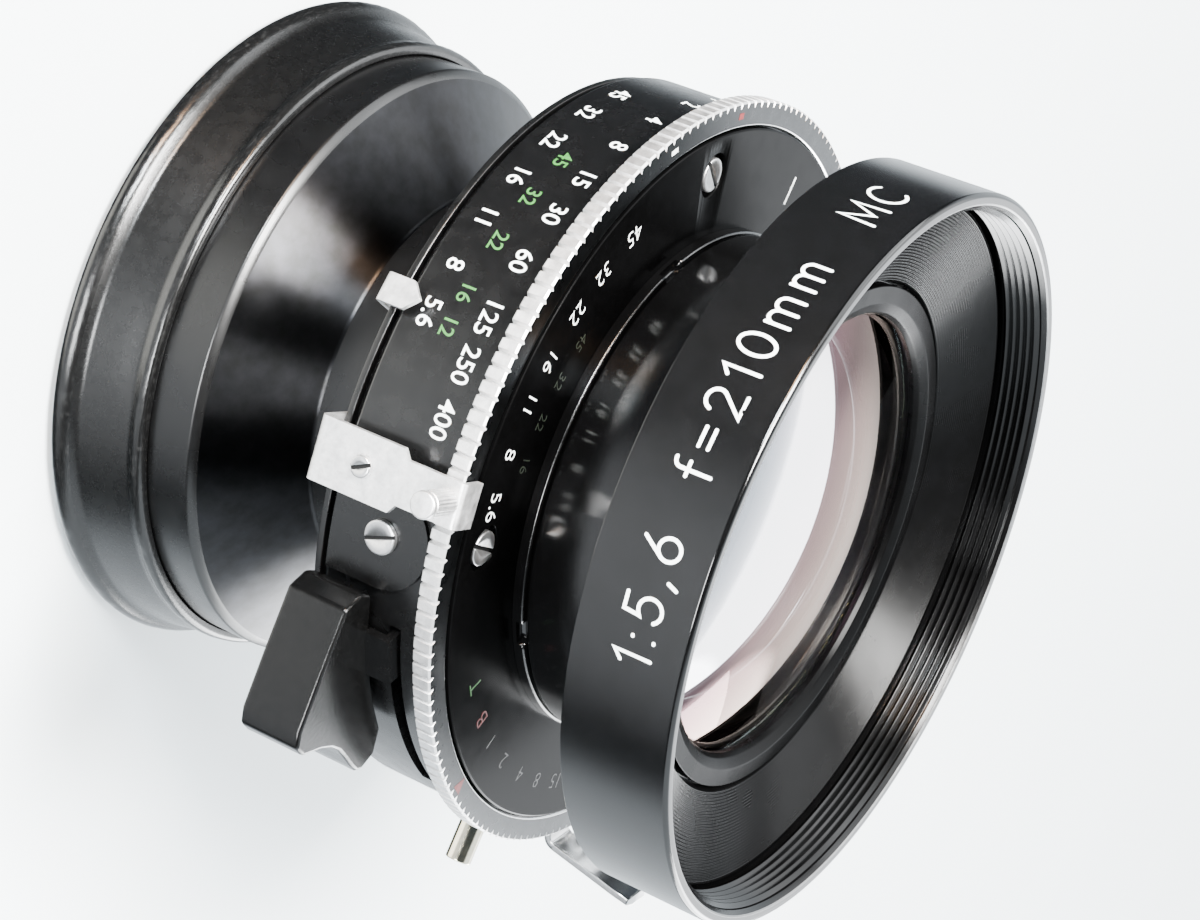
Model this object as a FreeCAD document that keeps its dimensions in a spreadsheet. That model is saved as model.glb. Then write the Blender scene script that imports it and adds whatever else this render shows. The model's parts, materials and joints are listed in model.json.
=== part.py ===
import FreeCAD, Part
import os
import re
import Sketcher

# A large-format lens in a size 1 leaf shutter, with a push-on rear cap.
# Frame: origin on the optical axis at the face that seats on a lensboard, +Z towards the
# front glass, +Y towards the top of the shutter. Azimuths are degrees about +Z from +X.
# All lengths are millimetres.

SIZES = {
    # shutter case
    "case_radius": 35.0,
    "case_wall": 1.4,
    "case_rear": 1.5,
    "case_floor": 2.7,
    "case_front": 12.4,
    "case_chamfer": 0.8,
    "seat_radius": 27.0,
    "tube_radius": 19.5,
    "tube_bore": 18.05,
    "tube_end": -5.1,
    "tube_floor": 0.6,
    "light_path": 15.6,
    # iris and shutter blades
    "pivot_circle": 21.6,
    "pivot_radius": 0.4,
    "pivot_hole": 0.45,
    "ear_radius": 1.1,
    "iris_inner": 15.5,
    "iris_outer": 19.8,
    "iris_span": 96,
    "iris_first": 3.85,
    "iris_step": 0.14,
    "iris_sheet": 0.08,
    "leaf_radius": 16.0,
    "leaf_span": 80,
    "leaf_first": 5.85,
    "leaf_step": 0.16,
    "leaf_sheet": 0.1,
    "iris_plate_rear": 5.0,
    "iris_plate_front": 5.6,
    "blade_plate_rear": 6.9,
    "blade_plate_front": 7.5,
    "plate_radius": 33.3,
    "plate_hole": 16.2,
    "spacer_circle": 32.65,
    "spacer_radius": 0.6,
    "iris_ring_inner": 23.2,
    "iris_ring_outer": 31.6,
    "iris_ring_rear": 2.95,
    "iris_ring_front": 3.65,
    "blade_ring_outer": 23.0,
    "blade_ring_rear": 7.65,
    "blade_ring_front": 8.05,
    # mechanism plate and front of the shutter
    "mechanism_rear": 8.2,
    "mechanism_front": 9.2,
    "mechanism_tube": 21.4,
    "mechanism_bore": 20.05,
    "mechanism_top": 14.6,
    "pillar_radius": 1.2,
    "front_screw_circle": 30.3,
    "front_plate_rear": 13.7,
    "front_plate_face": 14.7,
    "front_plate_radius": 33.9,
    "front_plate_hole": 21.6,
    "recess_floor": 14.0,
    "recess_radius": 2.2,
    "front_screw_radius": 1.6,
    "front_screw_head": 0.58,
    "screw_shank": 0.8,
    "screw_hole": 0.85,
    "screw_slot": 0.4,
    "head_gap": 0.02,
    "locking_ring_radius": 24.5,
    "locking_ring_front": 15.8,
    "locking_notch": 2.6,
    "locking_notch_depth": 0.8,
    # speed ring
    "knurl_rear": 12.65,
    "knurl_face": 14.5,
    "knurl_tip": 36.45,
    "knurl_root": 36.0,
    "knurl_bore": 34.0,
    "web_front": 13.5,
    "web_inner": 32.1,
    "cam_rear": 10.9,
    "cam_inner": 31.8,
    "cam_outer": 33.3,
    # aperture ring, pointer and bracket
    "aperture_inner": 28.2,
    "aperture_outer": 34.6,
    "aperture_rear": 0.7,
    "aperture_front": 1.35,
    "driver_circle": 29.6,
    "driver_radius": 0.6,
    "driver_slot": 0.75,
    "fold_rear": 0.1,
    "sheet": 0.55,
    "pointer_inner": 36.0,
    "pointer_width": 2.7,
    "pointer_shoulder": 3.0,
    "pointer_tip": 4.1,
    "bracket_inner": 36.75,
    "bracket_width": 5.7,
    "bracket_neck": 4.0,
    "bracket_shoulder": 9.0,
    "bracket_front": 15.3,
    "bracket_toe": 34.6,
    "bracket_screw_height": 5.3,
    "bracket_screw_radius": 1.0,
    "bracket_screw_head": 0.45,
    "post_height": 13.8,
    "post_radius": 1.2,
    "post_end": 41.0,
    # side cover plate
    "cover_width": 9.3,
    "cover_rear": 2.4,
    "cover_centre": 7.6,
    "cover_rise": 0.4,
    "cover_screw_radius": 1.55,
    "cover_screw_head": 0.55,
    "cover_inner": 30,
    "cover_outer": 40,
    # levers
    "arm_rear": 9.4,
    "arm_front": 10.2,
    "arm_gap": 0.2,
    "cocking_inner": 21.9,
    "cocking_outer": 25.0,
    "cocking_arm_width": 4.6,
    "cocking_arm_end": 36.4,
    "tab_sheet": 0.8,
    "slot_side": 2.3,
    "cocking_travel": 26,
    "grip_rear": 1.5,
    "grip_front": 7.7,
    "grip_inner": 35.7,
    "release_pivot_circle": 28.5,
    "release_pin": 0.8,
    "release_hole": 0.85,
    "release_width": 3.4,
    "release_elbow": 42.4,
    "release_end": 45.0,
    "release_tab_front": 20.2,
    "release_travel": 10,
    "preview_width": 3.6,
    "preview_end": 38.6,
    "preview_rear": 4.6,
    "preview_front": 11.4,
    "preview_travel": 13,
    # sockets on the side
    "sync_height": 10.5,
    "sync_radius": 1.25,
    "sync_stem": 1.65,
    "sync_shoulder": 35.1,
    "sync_bore": 0.9,
    "sync_end": 40.2,
    "sync_pin": 0.3,
    "sync_recess": 2.4,
    "cable_height": 10.0,
    "cable_radius": 2.2,
    "cable_bore": 1.6,
    "cable_guide": 0.75,
    "cable_pin": 0.7,
    "cable_end": 45.0,
    "cable_thread_floor": 37.5,
    "cable_flange": 2.35,
    "plunger_end": 37.4,
    # lensboard ring
    "board_ring_rear": -4.6,
    "board_ring_front": -2.6,
    "board_ring_radius": 24.0,
    "board_thread_gap": 0.03,
    "spanner_slot": 1.8,
    "spanner_depth": 0.9,
    "spanner_reach": 2.4,
    # front cell
    "ring_radius": 35.0,
    "ring_rear": 26.8,
    "ring_front": 37.3,
    "ring_floor": 29.1,
    "ring_chamfer": 0.25,
    "cell_gap": 0.05,
    "thread_crest": 33.1,
    "thread_root": 33.55,
    "thread_start": 32.9,
    "thread_pitch": 0.75,
    "barrel_radius": 24.3,
    "barrel_rear": 9.0,
    "barrel_shoulder": 15.85,
    "barrel_front": 29.0,
    "spigot_radius": 19.95,
    "inner_bore": 18.3,
    "doublet_bore": 22.1,
    "doublet_seat": 18.4,
    "retainer_bore": 21.3,
    "retainer_radius": 24.2,
    "retainer_front": 30.4,
    "retainer_lip": 29.8,
    "retainer_flat": 22.2,
    "retainer_slot_circle": 23.2,
    "retainer_slot": 1.4,
    "front_glass_edge": 22.0,
    "front_glass_top": 31.0,
    "front_pole": 32.6,
    "front_curve": 62,
    "cement_pole": 25.0,
    "cement_curve": 110,
    "cement": 0.01,
    "second_pole": 22.6,
    "second_curve": 60,
    "inner_edge": 18.2,
    "inner_rear": 9.4,
    "inner_front_pole": 18.35,
    "inner_front_curve": 40,
    "inner_rear_pole": 14.4,
    "inner_rear_curve": 36,
    "inner_ring_bore": 16.9,
    "inner_ring_radius": 18.25,
    "inner_ring_front": 9.35,
    "front_spacer_low": 14.05,
    "front_spacer_high": 14.7,
    "baffle_inner": 24.4,
    "baffle_outer": 33.0,
    "baffle_rear": 29.2,
    "baffle_low": 30.45,
    "baffle_high": 32.4,
    "groove_pitch": 0.5,
    "groove_width": 0.12,
    "groove_depth": 0.25,
    "groove_land": 0.35,
    # rear cell
    "rear_spigot": 17.95,
    "rear_bore": 16.6,
    "rear_shoulder": -5.15,
    "rear_neck": 19.6,
    "cone_top": -11.4,
    "cone_base": -17.1,
    "rear_rim": 29.95,
    "rear_end": -29.8,
    "rear_front": 0.4,
    "rear_doublet_bore": 25.6,
    "rear_doublet_step": 2.5,
    "rear_seat": -17.7,
    "rear_retainer_front": -27.4,
    "rear_retainer_rear": -28.8,
    "rear_retainer_width": 1.2,
    "rear_retainer_slope": 0.35,
    "rear_inner_edge": 16.5,
    "rear_inner_front": 0.3,
    "rear_inner_pole": -7.6,
    "rear_inner_curve": 40,
    "rear_hollow_pole": -3.8,
    "rear_hollow_curve": 36,
    "rear_glass_edge": 25.5,
    "rear_glass_rear": -27,
    "rear_second_pole": -22.6,
    "rear_second_curve": 70,
    "rear_cement_pole": -24.6,
    "rear_cement_curve": 180,
    "rear_pole": -30.3,
    "rear_curve": 110,
    "rear_inner_ring_bore": 15.2,
    "rear_inner_ring_radius": 16.55,
    "rear_inner_ring_rear": -5.4,
    "rear_inner_ring_rim": -4.15,
    "rear_inner_ring_lip": -4.7,
    # rear cap
    "cap_bore": 30.05,
    "cap_front": -21.9,
    "cap_bead_front": 31.12,
    "cap_bead_rear": 33.0,
    "cap_bead_height": -30.2,
    "cap_floor": -30.9,
    "cap_rear": -31.8,
    "cap_flat": 31.6,
}

# Azimuths of the things round the shutter, in degrees.
AZIMUTHS = {
    "bracket_azimuth": 138.2,
    "pointer_azimuth": 115.3,
    "cover_azimuth": 147.5,
    "cocking_azimuth": 165,
    "release_azimuth": 243.5,
    "cable_azimuth": 254,
    "sync_azimuth": 214,
    "preview_azimuth": 320,
    "front_screw_top": 63.9,
    "front_screw_side": 146.6,
}

IRIS_BLADES = 7
SHUTTER_BLADES = 5
KNURL_TEETH = 176
FILTER_THREADS = 5
BAFFLE_GROOVES = 16
SPACER_AZIMUTHS = (58, 130, 202, 346)
NOTCH_AZIMUTHS = (80, 170, 260, 350)
APERTURE_TRAVEL = 51

# Each step of the speed cam: its first azimuth and its depth.
CAM_STEPS = ((200, 0.4), (245, 0.7), (290, 1.0))
CAM_STEP_SPAN = 40

# How far a cutting tool runs past the face that it cuts.
OVER = "1"

document = FreeCAD.newDocument("view_camera_lens")
sheet = document.addObject("Spreadsheet::Sheet", "sizes")


def fill_sheet():
    cells = {**SIZES, **AZIMUTHS}
    for row, (alias, value) in enumerate(cells.items(), start=1):
        sheet.set(f"A{row}", alias)
        sheet.set(f"B{row}", str(value))
        sheet.setAlias(f"B{row}", alias)
    document.recompute()


def bound(text):
    """An expression with each alias spelled out as a cell of the sheet."""
    known = {**SIZES, **AZIMUTHS}

    def spelled(word):
        return "sizes." + word.group() if word.group() in known else word.group()

    return re.sub(r"[a-z_]+", spelled, str(text))


def number(text):
    return float(sheet.evalExpression(bound(text)))


def bind(thing, name, text):
    thing.setExpression(name, bound(text))


# ---------------------------------------------------------------- sketched bodies


def origin_plane(body, role):
    return next(feature for feature in body.Origin.OriginFeatures if feature.Role == role)


def outline(body, role, points, name="outline"):
    """A closed sketch through points whose coordinates are expressions of the sheet."""
    sketch = body.newObject("Sketcher::SketchObject", name)
    sketch.AttachmentSupport = (origin_plane(body, role), [""])
    sketch.MapMode = "FlatFace"
    places = [FreeCAD.Vector(number(x), number(y), 0) for x, y in points]
    for start, end in zip(places, places[1:] + places[:1]):
        sketch.addGeometry(Part.LineSegment(start, end))
    for index in range(len(places)):
        sketch.addConstraint(Sketcher.Constraint("Coincident", index, 2, (index + 1) % len(places), 1))
    for index, (x, y) in enumerate(points):
        for kind, text in (("DistanceX", x), ("DistanceY", y)):
            line = sketch.addConstraint(Sketcher.Constraint(kind, -1, 1, index, 1, number(text)))
            bind(sketch, f"Constraints[{line}]", text)
    return sketch


def turned(label, profile):
    """A round piece: a profile of (radius, height) turned about the optical axis."""
    body = document.addObject("PartDesign::Body", label)
    sketch = outline(body, "XZ_Plane", profile)
    turn = body.newObject("PartDesign::Revolution", "turn")
    turn.Profile = sketch
    turn.ReferenceAxis = (sketch, ["V_Axis"])
    turn.Angle = 360
    return body


def padded(label, points, offset, thickness, role="XY_Plane"):
    """A flat piece: an outline in a plane, moved off it by offset and padded by thickness."""
    body = document.addObject("PartDesign::Body", label)
    sketch = outline(body, role, points)
    bind(sketch, "AttachmentOffset.Base.z", offset)
    pad = body.newObject("PartDesign::Pad", "pad")
    pad.Profile = sketch
    bind(pad, "Length", thickness)
    return body


# ---------------------------------------------------------------- primitives


def cylinder(radius, rear, front, at=("0", "0")):
    """A cylinder along the optical axis, or along a parallel line through at."""
    solid = document.addObject("Part::Cylinder", "cylinder")
    bind(solid, "Radius", radius)
    bind(solid, "Height", f"({front}) - ({rear})")
    bind(solid, "Placement.Base.x", at[0])
    bind(solid, "Placement.Base.y", at[1])
    bind(solid, "Placement.Base.z", rear)
    return solid


def sector(radius, rear, front, start, span):
    """A slice of a disc, from the azimuth start over span degrees."""
    solid = cylinder(radius, rear, front)
    bind(solid, "Angle", span)
    solid.Placement.Rotation = FreeCAD.Rotation(FreeCAD.Vector(0, 0, 1), number(start))
    bind(solid, "Placement.Rotation.Angle", start)
    return solid


def radial(radius, inner, outer, height, y="0"):
    """A cylinder along +X, from the distance inner to outer, at a height on the axis."""
    solid = document.addObject("Part::Cylinder", "radial")
    bind(solid, "Radius", radius)
    bind(solid, "Height", f"({outer}) - ({inner})")
    solid.Placement.Rotation = FreeCAD.Rotation(FreeCAD.Vector(0, 1, 0), 90)
    bind(solid, "Placement.Base.x", inner)
    bind(solid, "Placement.Base.y", y)
    bind(solid, "Placement.Base.z", height)
    return solid


def box(x, y, z):
    """A box from three pairs of expressions, low and high along each axis."""
    solid = document.addObject("Part::Box", "box")
    for axis, side, (low, high) in zip("xyz", ("Length", "Width", "Height"), (x, y, z)):
        bind(solid, side, f"({high}) - ({low})")
        bind(solid, f"Placement.Base.{axis}", low)
    return solid


def ball(radius, height):
    """A sphere centred on the optical axis."""
    solid = document.addObject("Part::Sphere", "ball")
    bind(solid, "Radius", radius)
    bind(solid, "Placement.Base.z", height)
    return solid


def cut(base, *tools):
    for tool in tools:
        result = document.addObject("Part::Cut", "cut")
        result.Base = base
        result.Tool = tool
        base = result
    return base


def fused(*solids):
    result = document.addObject("Part::MultiFuse", "fused")
    result.Shapes = list(solids)
    result.Refine = True
    return result


def common(first, second):
    result = document.addObject("Part::Common", "common")
    result.Base = first
    result.Tool = second
    return result


def group(*solids):
    """Several like pieces kept as separate solids in one node."""
    result = document.addObject("Part::Compound", "group")
    result.Links = list(solids)
    return result


def at_azimuth(thing, azimuth):
    """Turns a thing that was built along +X to its azimuth about the optical axis."""
    if thing.TypeId in ("Part::Cylinder", "Part::Box"):
        thing = group(thing)
    thing.Placement = FreeCAD.Placement(
        FreeCAD.Vector(0, 0, 0), FreeCAD.Rotation(FreeCAD.Vector(0, 0, 1), number(azimuth))
    )
    bind(thing, "Placement.Rotation.Angle", azimuth)
    return thing


NODES = {}


def node(label, thing):
    thing.Label = label
    NODES[label] = thing
    return thing


# ---------------------------------------------------------------- front cell


def filter_ring():
    """The deep ring in front of the glass, with a filter thread of flat-topped grooves in its mouth."""
    profile = [
        ("barrel_radius + cell_gap", "ring_rear"),
        ("ring_radius", "ring_rear"),
        ("ring_radius", "ring_front - ring_chamfer"),
        ("ring_radius - ring_chamfer", "ring_front"),
        ("thread_root + 0.35", "ring_front"),
        ("thread_root", "ring_front - 0.5"),
    ]
    tooth = ((0.75, "thread_root"), (0.45, "thread_crest"), (0.3, "thread_crest"), (0.05, "thread_root"))
    for turn in reversed(range(FILTER_THREADS)):
        for share, radius in tooth:
            profile.append((radius, f"thread_start + ({turn} + {share}) * thread_pitch"))
    profile.append(("thread_root", "ring_floor"))
    profile.append(("barrel_radius + cell_gap", "ring_floor"))
    node("filter_ring", turned("filter_ring", profile))


def front_baffle():
    """A shallow cone of fine steps that kills stray light in front of the glass."""
    profile = [
        ("baffle_inner", "baffle_rear"),
        ("baffle_outer", "baffle_rear"),
        ("baffle_outer", "baffle_high"),
    ]
    for groove in range(BAFFLE_GROOVES):
        near = f"baffle_outer - groove_land - {groove} * groove_pitch"
        height = f"baffle_high - {groove} * (baffle_high - baffle_low) / {BAFFLE_GROOVES}"
        profile.append((near, height))
        profile.append((f"{near} - groove_width", f"{height} - groove_depth"))
    profile.append(("baffle_inner", "baffle_low - groove_depth"))
    node("front_baffle", turned("front_baffle", profile))


def front_barrel():
    profile = [
        ("inner_bore", "barrel_rear"),
        ("spigot_radius", "barrel_rear"),
        ("spigot_radius", "barrel_shoulder"),
        ("barrel_radius", "barrel_shoulder"),
        ("barrel_radius", "barrel_front"),
        ("doublet_bore", "barrel_front"),
        ("doublet_bore", "doublet_seat"),
        ("inner_bore", "doublet_seat"),
    ]
    node("front_barrel", turned("front_barrel", profile))


def front_retainer():
    profile = [
        ("retainer_bore", "barrel_front + cell_gap"),
        ("retainer_radius", "barrel_front + cell_gap"),
        ("retainer_radius", "retainer_front"),
        ("retainer_flat", "retainer_front"),
        ("retainer_bore", "retainer_lip"),
    ]
    ring = turned("retainer_blank", profile)
    half = "retainer_slot / 2"
    slots = [
        box(
            (f"{side} * retainer_slot_circle - {half}", f"{side} * retainer_slot_circle + {half}"),
            (f"-{half}", half), ("retainer_front - 0.5", f"retainer_front + {OVER}"),
        )
        for side in (1, -1)
    ]
    node("front_retainer", cut(ring, *slots))


def glass(label, edge, rear, front, inside=(), outside=()):
    """A disc of glass, kept inside some balls and hollowed by others. A ball is (curve, centre)."""
    disc = cylinder(edge, rear, front)
    for curve, centre in inside:
        disc = common(disc, ball(curve, centre))
    for curve, centre in outside:
        disc = cut(disc, ball(curve, centre))
    node(label, disc)


def front_glass():
    # The outer pair is cemented, so the rear face of one is the front face of the other.
    cemented = ("cement_curve", "cement_pole + cement_curve")
    hollowed = ("cement_curve + cement", "cement_pole + cement_curve")
    glass(
        "front_element_outer", "front_glass_edge", "doublet_seat", "front_pole",
        inside=[("front_curve", "front_pole - front_curve"), cemented],
    )
    glass(
        "front_element_second", "front_glass_edge", "doublet_seat + cell_gap", "front_glass_top",
        outside=[hollowed, ("second_curve", "second_pole - second_curve")],
    )
    glass(
        "front_element_inner", "inner_edge", "inner_rear", "inner_front_pole",
        inside=[("inner_front_curve", "inner_front_pole - inner_front_curve")],
        outside=[("inner_rear_curve", "inner_rear_pole - inner_rear_curve")],
    )


def front_rings():
    spacer = [
        ("inner_ring_bore", "front_spacer_high"),
        ("inner_ring_radius", "front_spacer_low"),
        ("inner_ring_radius", "doublet_seat - cell_gap"),
        ("inner_ring_bore", "doublet_seat - cell_gap"),
    ]
    node("front_spacer", turned("front_spacer", spacer))
    ring = [
        ("inner_ring_bore", "barrel_rear"),
        ("inner_ring_radius", "barrel_rear"),
        ("inner_ring_radius", "inner_ring_front"),
        ("inner_ring_bore", "inner_ring_front"),
    ]
    node("front_inner_ring", turned("front_inner_ring", ring))


# ---------------------------------------------------------------- rear cell and cap


def rear_barrel():
    profile = [
        ("rear_bore", "rear_front"),
        ("rear_spigot", "rear_front"),
        ("rear_spigot", "rear_shoulder"),
        ("rear_neck", "rear_shoulder"),
        ("rear_neck", "cone_top"),
        ("rear_rim", "cone_base"),
        ("rear_rim", "rear_end"),
        ("rear_doublet_bore", "rear_end"),
        ("rear_doublet_bore", "rear_seat"),
        ("rear_doublet_bore - rear_doublet_step", "rear_seat"),
        ("rear_bore", "cone_top - 0.9"),
    ]
    node("rear_barrel", turned("rear_barrel", profile))


def rear_glass():
    cemented = ("rear_cement_curve", "rear_cement_pole - rear_cement_curve")
    hollowed = ("rear_cement_curve + cement", "rear_cement_pole - rear_cement_curve")
    glass(
        "rear_element_inner", "rear_inner_edge", "rear_inner_pole", "rear_inner_front",
        inside=[("rear_inner_curve", "rear_inner_pole + rear_inner_curve")],
        outside=[("rear_hollow_curve", "rear_hollow_pole + rear_hollow_curve")],
    )
    glass(
        "rear_element_second", "rear_glass_edge", "rear_glass_rear", "rear_seat - cell_gap",
        outside=[("rear_second_curve", "rear_second_pole + rear_second_curve"), hollowed],
    )
    glass(
        "rear_element_outer", "rear_glass_edge", "rear_pole", "rear_cement_pole",
        inside=[cemented, ("rear_curve", "rear_pole + rear_curve")],
    )


def rear_rings():
    inner = [
        ("rear_inner_ring_bore", "rear_inner_ring_rear"),
        ("rear_inner_ring_radius", "rear_inner_ring_rear"),
        ("rear_inner_ring_radius", "rear_inner_ring_rim"),
        ("rear_inner_ring_bore", "rear_inner_ring_lip"),
    ]
    node("rear_inner_ring", turned("rear_inner_ring", inner))
    bore = "rear_doublet_bore - rear_retainer_width"
    retainer = [
        (bore, "rear_retainer_rear"),
        ("rear_doublet_bore - cell_gap", "rear_retainer_rear"),
        ("rear_doublet_bore - cell_gap", "rear_retainer_front"),
        (bore, "rear_retainer_front - rear_retainer_slope"),
    ]
    node("rear_retainer", turned("rear_retainer", retainer))


def rear_cap():
    profile = [
        ("0", "cap_rear"),
        ("cap_flat", "cap_rear"),
        ("cap_bead_rear - 0.4", "cap_rear + 0.6"),
        ("cap_bead_rear", "cap_bead_height"),
        ("cap_bead_rear - 0.5", "cap_bead_height + 0.9"),
        ("cap_bead_rear - 1.1", "cap_bead_height + 1.4"),
        ("cap_bead_front - 0.2", "cap_front - 1.6"),
        ("cap_bead_front", "cap_front - 0.8"),
        ("cap_bead_front - 0.3", "cap_front"),
        ("cap_bore", "cap_front"),
        ("cap_bore", "cap_floor"),
        ("0", "cap_floor"),
    ]
    node("rear_cap", turned("rear_cap", profile))


# ---------------------------------------------------------------- shutter case


def side_hole(radius, height, azimuth):
    return at_azimuth(radial(radius, "case_radius - 3", "case_radius + 3", height), azimuth)


def wall_slot(rear, front, start, span):
    """A slot through the side wall of the case, from one azimuth over span degrees."""
    outer = sector("case_radius + 2", rear, front, start, span)
    return cut(outer, cylinder("case_radius - case_wall - 2", f"({rear}) - 1", f"({front}) + 1"))


def shutter_case():
    profile = [
        ("light_path", "tube_floor"),
        ("tube_bore", "tube_floor"),
        ("tube_bore", "tube_end"),
        ("tube_radius", "tube_end"),
        ("tube_radius", "0"),
        ("seat_radius", "0"),
        ("seat_radius", "case_rear"),
        ("case_radius - case_chamfer", "case_rear"),
        ("case_radius", "case_rear + case_chamfer"),
        ("case_radius", "case_front"),
        ("case_radius - case_wall", "case_front"),
        ("case_radius - case_wall", "case_floor"),
        ("light_path", "case_floor"),
    ]
    blank = turned("case_blank", profile)
    slot_span = f"{APERTURE_TRAVEL} + 5"
    driver_slot = cut(
        sector(
            "driver_circle + driver_slot", "case_rear - 1", "case_floor + 1",
            f"bracket_azimuth - {APERTURE_TRAVEL} - 2.5", slot_span,
        ),
        cylinder("driver_circle - driver_slot", "case_rear - 2", "case_floor + 2"),
    )
    cocking_slot = wall_slot(
        "arm_rear - arm_gap", "arm_front + arm_gap",
        "cocking_azimuth - 2 * slot_side", "cocking_travel + 4 * slot_side",
    )
    release_slot = wall_slot(
        "arm_rear - arm_gap", "arm_front + arm_gap", "release_azimuth - 8.5", "release_travel + 2"
    )
    preview_slot = wall_slot(
        "blade_ring_rear - 0.1", "blade_ring_front + 0.1", "preview_azimuth - 4", "preview_travel + 8"
    )
    node("shutter_case", cut(
        blank, driver_slot, cocking_slot, release_slot, preview_slot,
        side_hole("sync_stem + cell_gap", "sync_height", "sync_azimuth"),
        side_hole("cable_radius + cell_gap", "cable_height", "cable_azimuth"),
        side_hole("screw_hole", "cover_centre", "cover_azimuth"),
    ))


def lensboard_ring():
    profile = [
        ("tube_radius + board_thread_gap", "board_ring_rear"),
        ("board_ring_radius", "board_ring_rear"),
        ("board_ring_radius", "board_ring_front"),
        ("tube_radius + board_thread_gap", "board_ring_front"),
    ]
    ring = turned("board_ring_blank", profile)
    half = "spanner_slot / 2"
    near = "board_ring_radius - spanner_reach"
    far = f"board_ring_radius + {OVER}"
    slots = [
        box((low, high), (f"-{half}", half), (f"board_ring_rear - {OVER}", "board_ring_rear + spanner_depth"))
        for low, high in ((near, far), (f"-({far})", f"-({near})"))
    ]
    node("lensboard_ring", cut(ring, *slots))


def side_cover():
    half = "cover_width / 2"
    tall = box(("cover_inner", "cover_outer"), (f"-{half}", half), ("cover_rear", "cover_centre"))
    end = radial(half, "cover_inner", "cover_outer", "cover_centre")
    skin = cut(
        cylinder("case_radius + cover_rise", "case_rear", "case_front"),
        cylinder("case_radius + head_gap", "case_rear - 1", "case_front + 1"),
    )
    plate = common(skin, fused(tall, end))
    hole = radial("screw_hole", "cover_inner", "cover_outer", "cover_centre")
    node("side_cover", at_azimuth(cut(plate, hole), "cover_azimuth"))


def side_cover_screw():
    face = "case_radius + cover_rise"
    half = "screw_slot / 2"
    head = radial("cover_screw_radius", f"{face} + head_gap", f"{face} + cover_screw_head", "cover_centre")
    shank = radial("screw_shank", "case_radius - case_wall", f"{face} + 0.3", "cover_centre")
    slot = box((f"{face} + 0.25", f"{face} + {OVER}"), (f"-{half}", half), ("cover_rear", "case_front"))
    node("side_cover_screw", at_azimuth(cut(fused(head, shank), slot), "cover_azimuth"))


# ---------------------------------------------------------------- plates and blades


def pins(count, rear, front):
    """Pivot pins on the pivot circle, one for each blade."""
    return [
        at_azimuth(cylinder("pivot_radius", rear, front, ("pivot_circle", "0")), f"{index} * 360 / {count}")
        for index in range(count)
    ]


def iris_plate():
    disc = cut(
        cylinder("plate_radius", "iris_plate_rear", "iris_plate_front"),
        cylinder("light_path", "iris_plate_rear - 1", "iris_plate_front + 1"),
    )
    node("iris_plate", fused(disc, *pins(IRIS_BLADES, "iris_first - 0.05", "iris_plate_rear + 0.1")))


def blade_plate():
    disc = cut(
        cylinder("plate_radius", "blade_plate_rear", "blade_plate_front"),
        cylinder("plate_hole", "blade_plate_rear - 1", "blade_plate_front + 1"),
    )
    node("blade_plate", fused(disc, *pins(SHUTTER_BLADES, "leaf_first - 0.05", "blade_plate_rear + 0.1")))


def plate_spacers():
    place = ("spacer_circle", "0")
    posts = []
    for azimuth in SPACER_AZIMUTHS:
        for rear, front in (
            ("case_floor", "iris_plate_rear"),
            ("iris_plate_front", "blade_plate_rear"),
            ("blade_plate_front", "mechanism_rear"),
        ):
            posts.append(at_azimuth(cylinder("spacer_radius", rear, front, place), str(azimuth)))
    node("plate_spacers", group(*posts))


def iris_blade(index):
    """A thin crescent that pivots on a pin at one end and swings into the light path."""
    rear = f"iris_first + {index} * iris_step"
    front = f"{rear} + iris_sheet"
    crescent = cut(
        sector("iris_outer", rear, front, "-iris_span", "iris_span"),
        cylinder("iris_inner", f"{rear} - 1", f"{front} + 1"),
    )
    ear = cylinder("ear_radius", rear, front, ("pivot_circle", "0"))
    neck = box(("iris_inner + 0.3", "pivot_circle"), ("-ear_radius", "ear_radius"), (rear, front))
    hole = cylinder("pivot_hole", f"{rear} - 1", f"{front} + 1", ("pivot_circle", "0"))
    blade = cut(fused(crescent, neck, ear), hole)
    node(f"iris_blade_{index + 1}", at_azimuth(blade, f"{index} * 360 / {IRIS_BLADES}"))


def shutter_blade(index):
    """A thin leaf that covers its share of the light path and swings clear of it."""
    rear = f"leaf_first + {index} * leaf_step"
    front = f"{rear} + leaf_sheet"
    leaf = sector("leaf_radius", rear, front, "-leaf_span", "leaf_span")
    ear = cylinder("ear_radius", rear, front, ("pivot_circle", "0"))
    neck = box(("leaf_radius - 2.5", "pivot_circle"), ("-ear_radius", "ear_radius"), (rear, front))
    hole = cylinder("pivot_hole", f"{rear} - 1", f"{front} + 1", ("pivot_circle", "0"))
    blade = cut(fused(leaf, neck, ear), hole)
    node(f"shutter_blade_{index + 1}", at_azimuth(blade, f"{index} * 360 / {SHUTTER_BLADES}"))


def iris_ring():
    node("iris_ring", cut(
        cylinder("iris_ring_outer", "iris_ring_rear", "iris_ring_front"),
        cylinder("iris_ring_inner", "iris_ring_rear - 1", "iris_ring_front + 1"),
    ))


def blade_ring():
    """The stamped ring that swings the shutter blades, with the arm of the preview lever."""
    ring = cut(
        cylinder("blade_ring_outer", "blade_ring_rear", "blade_ring_front"),
        cylinder("plate_hole + 0.6", "blade_ring_rear - 1", "blade_ring_front + 1"),
    )
    half = "preview_width / 2"
    reach = ("blade_ring_outer - 1", "preview_end - tab_sheet")
    arm = box(reach, (f"-{half}", half), ("blade_ring_rear", "blade_ring_front"))
    node("blade_ring", fused(ring, at_azimuth(arm, "preview_azimuth")))


# ---------------------------------------------------------------- front of the shutter


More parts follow.
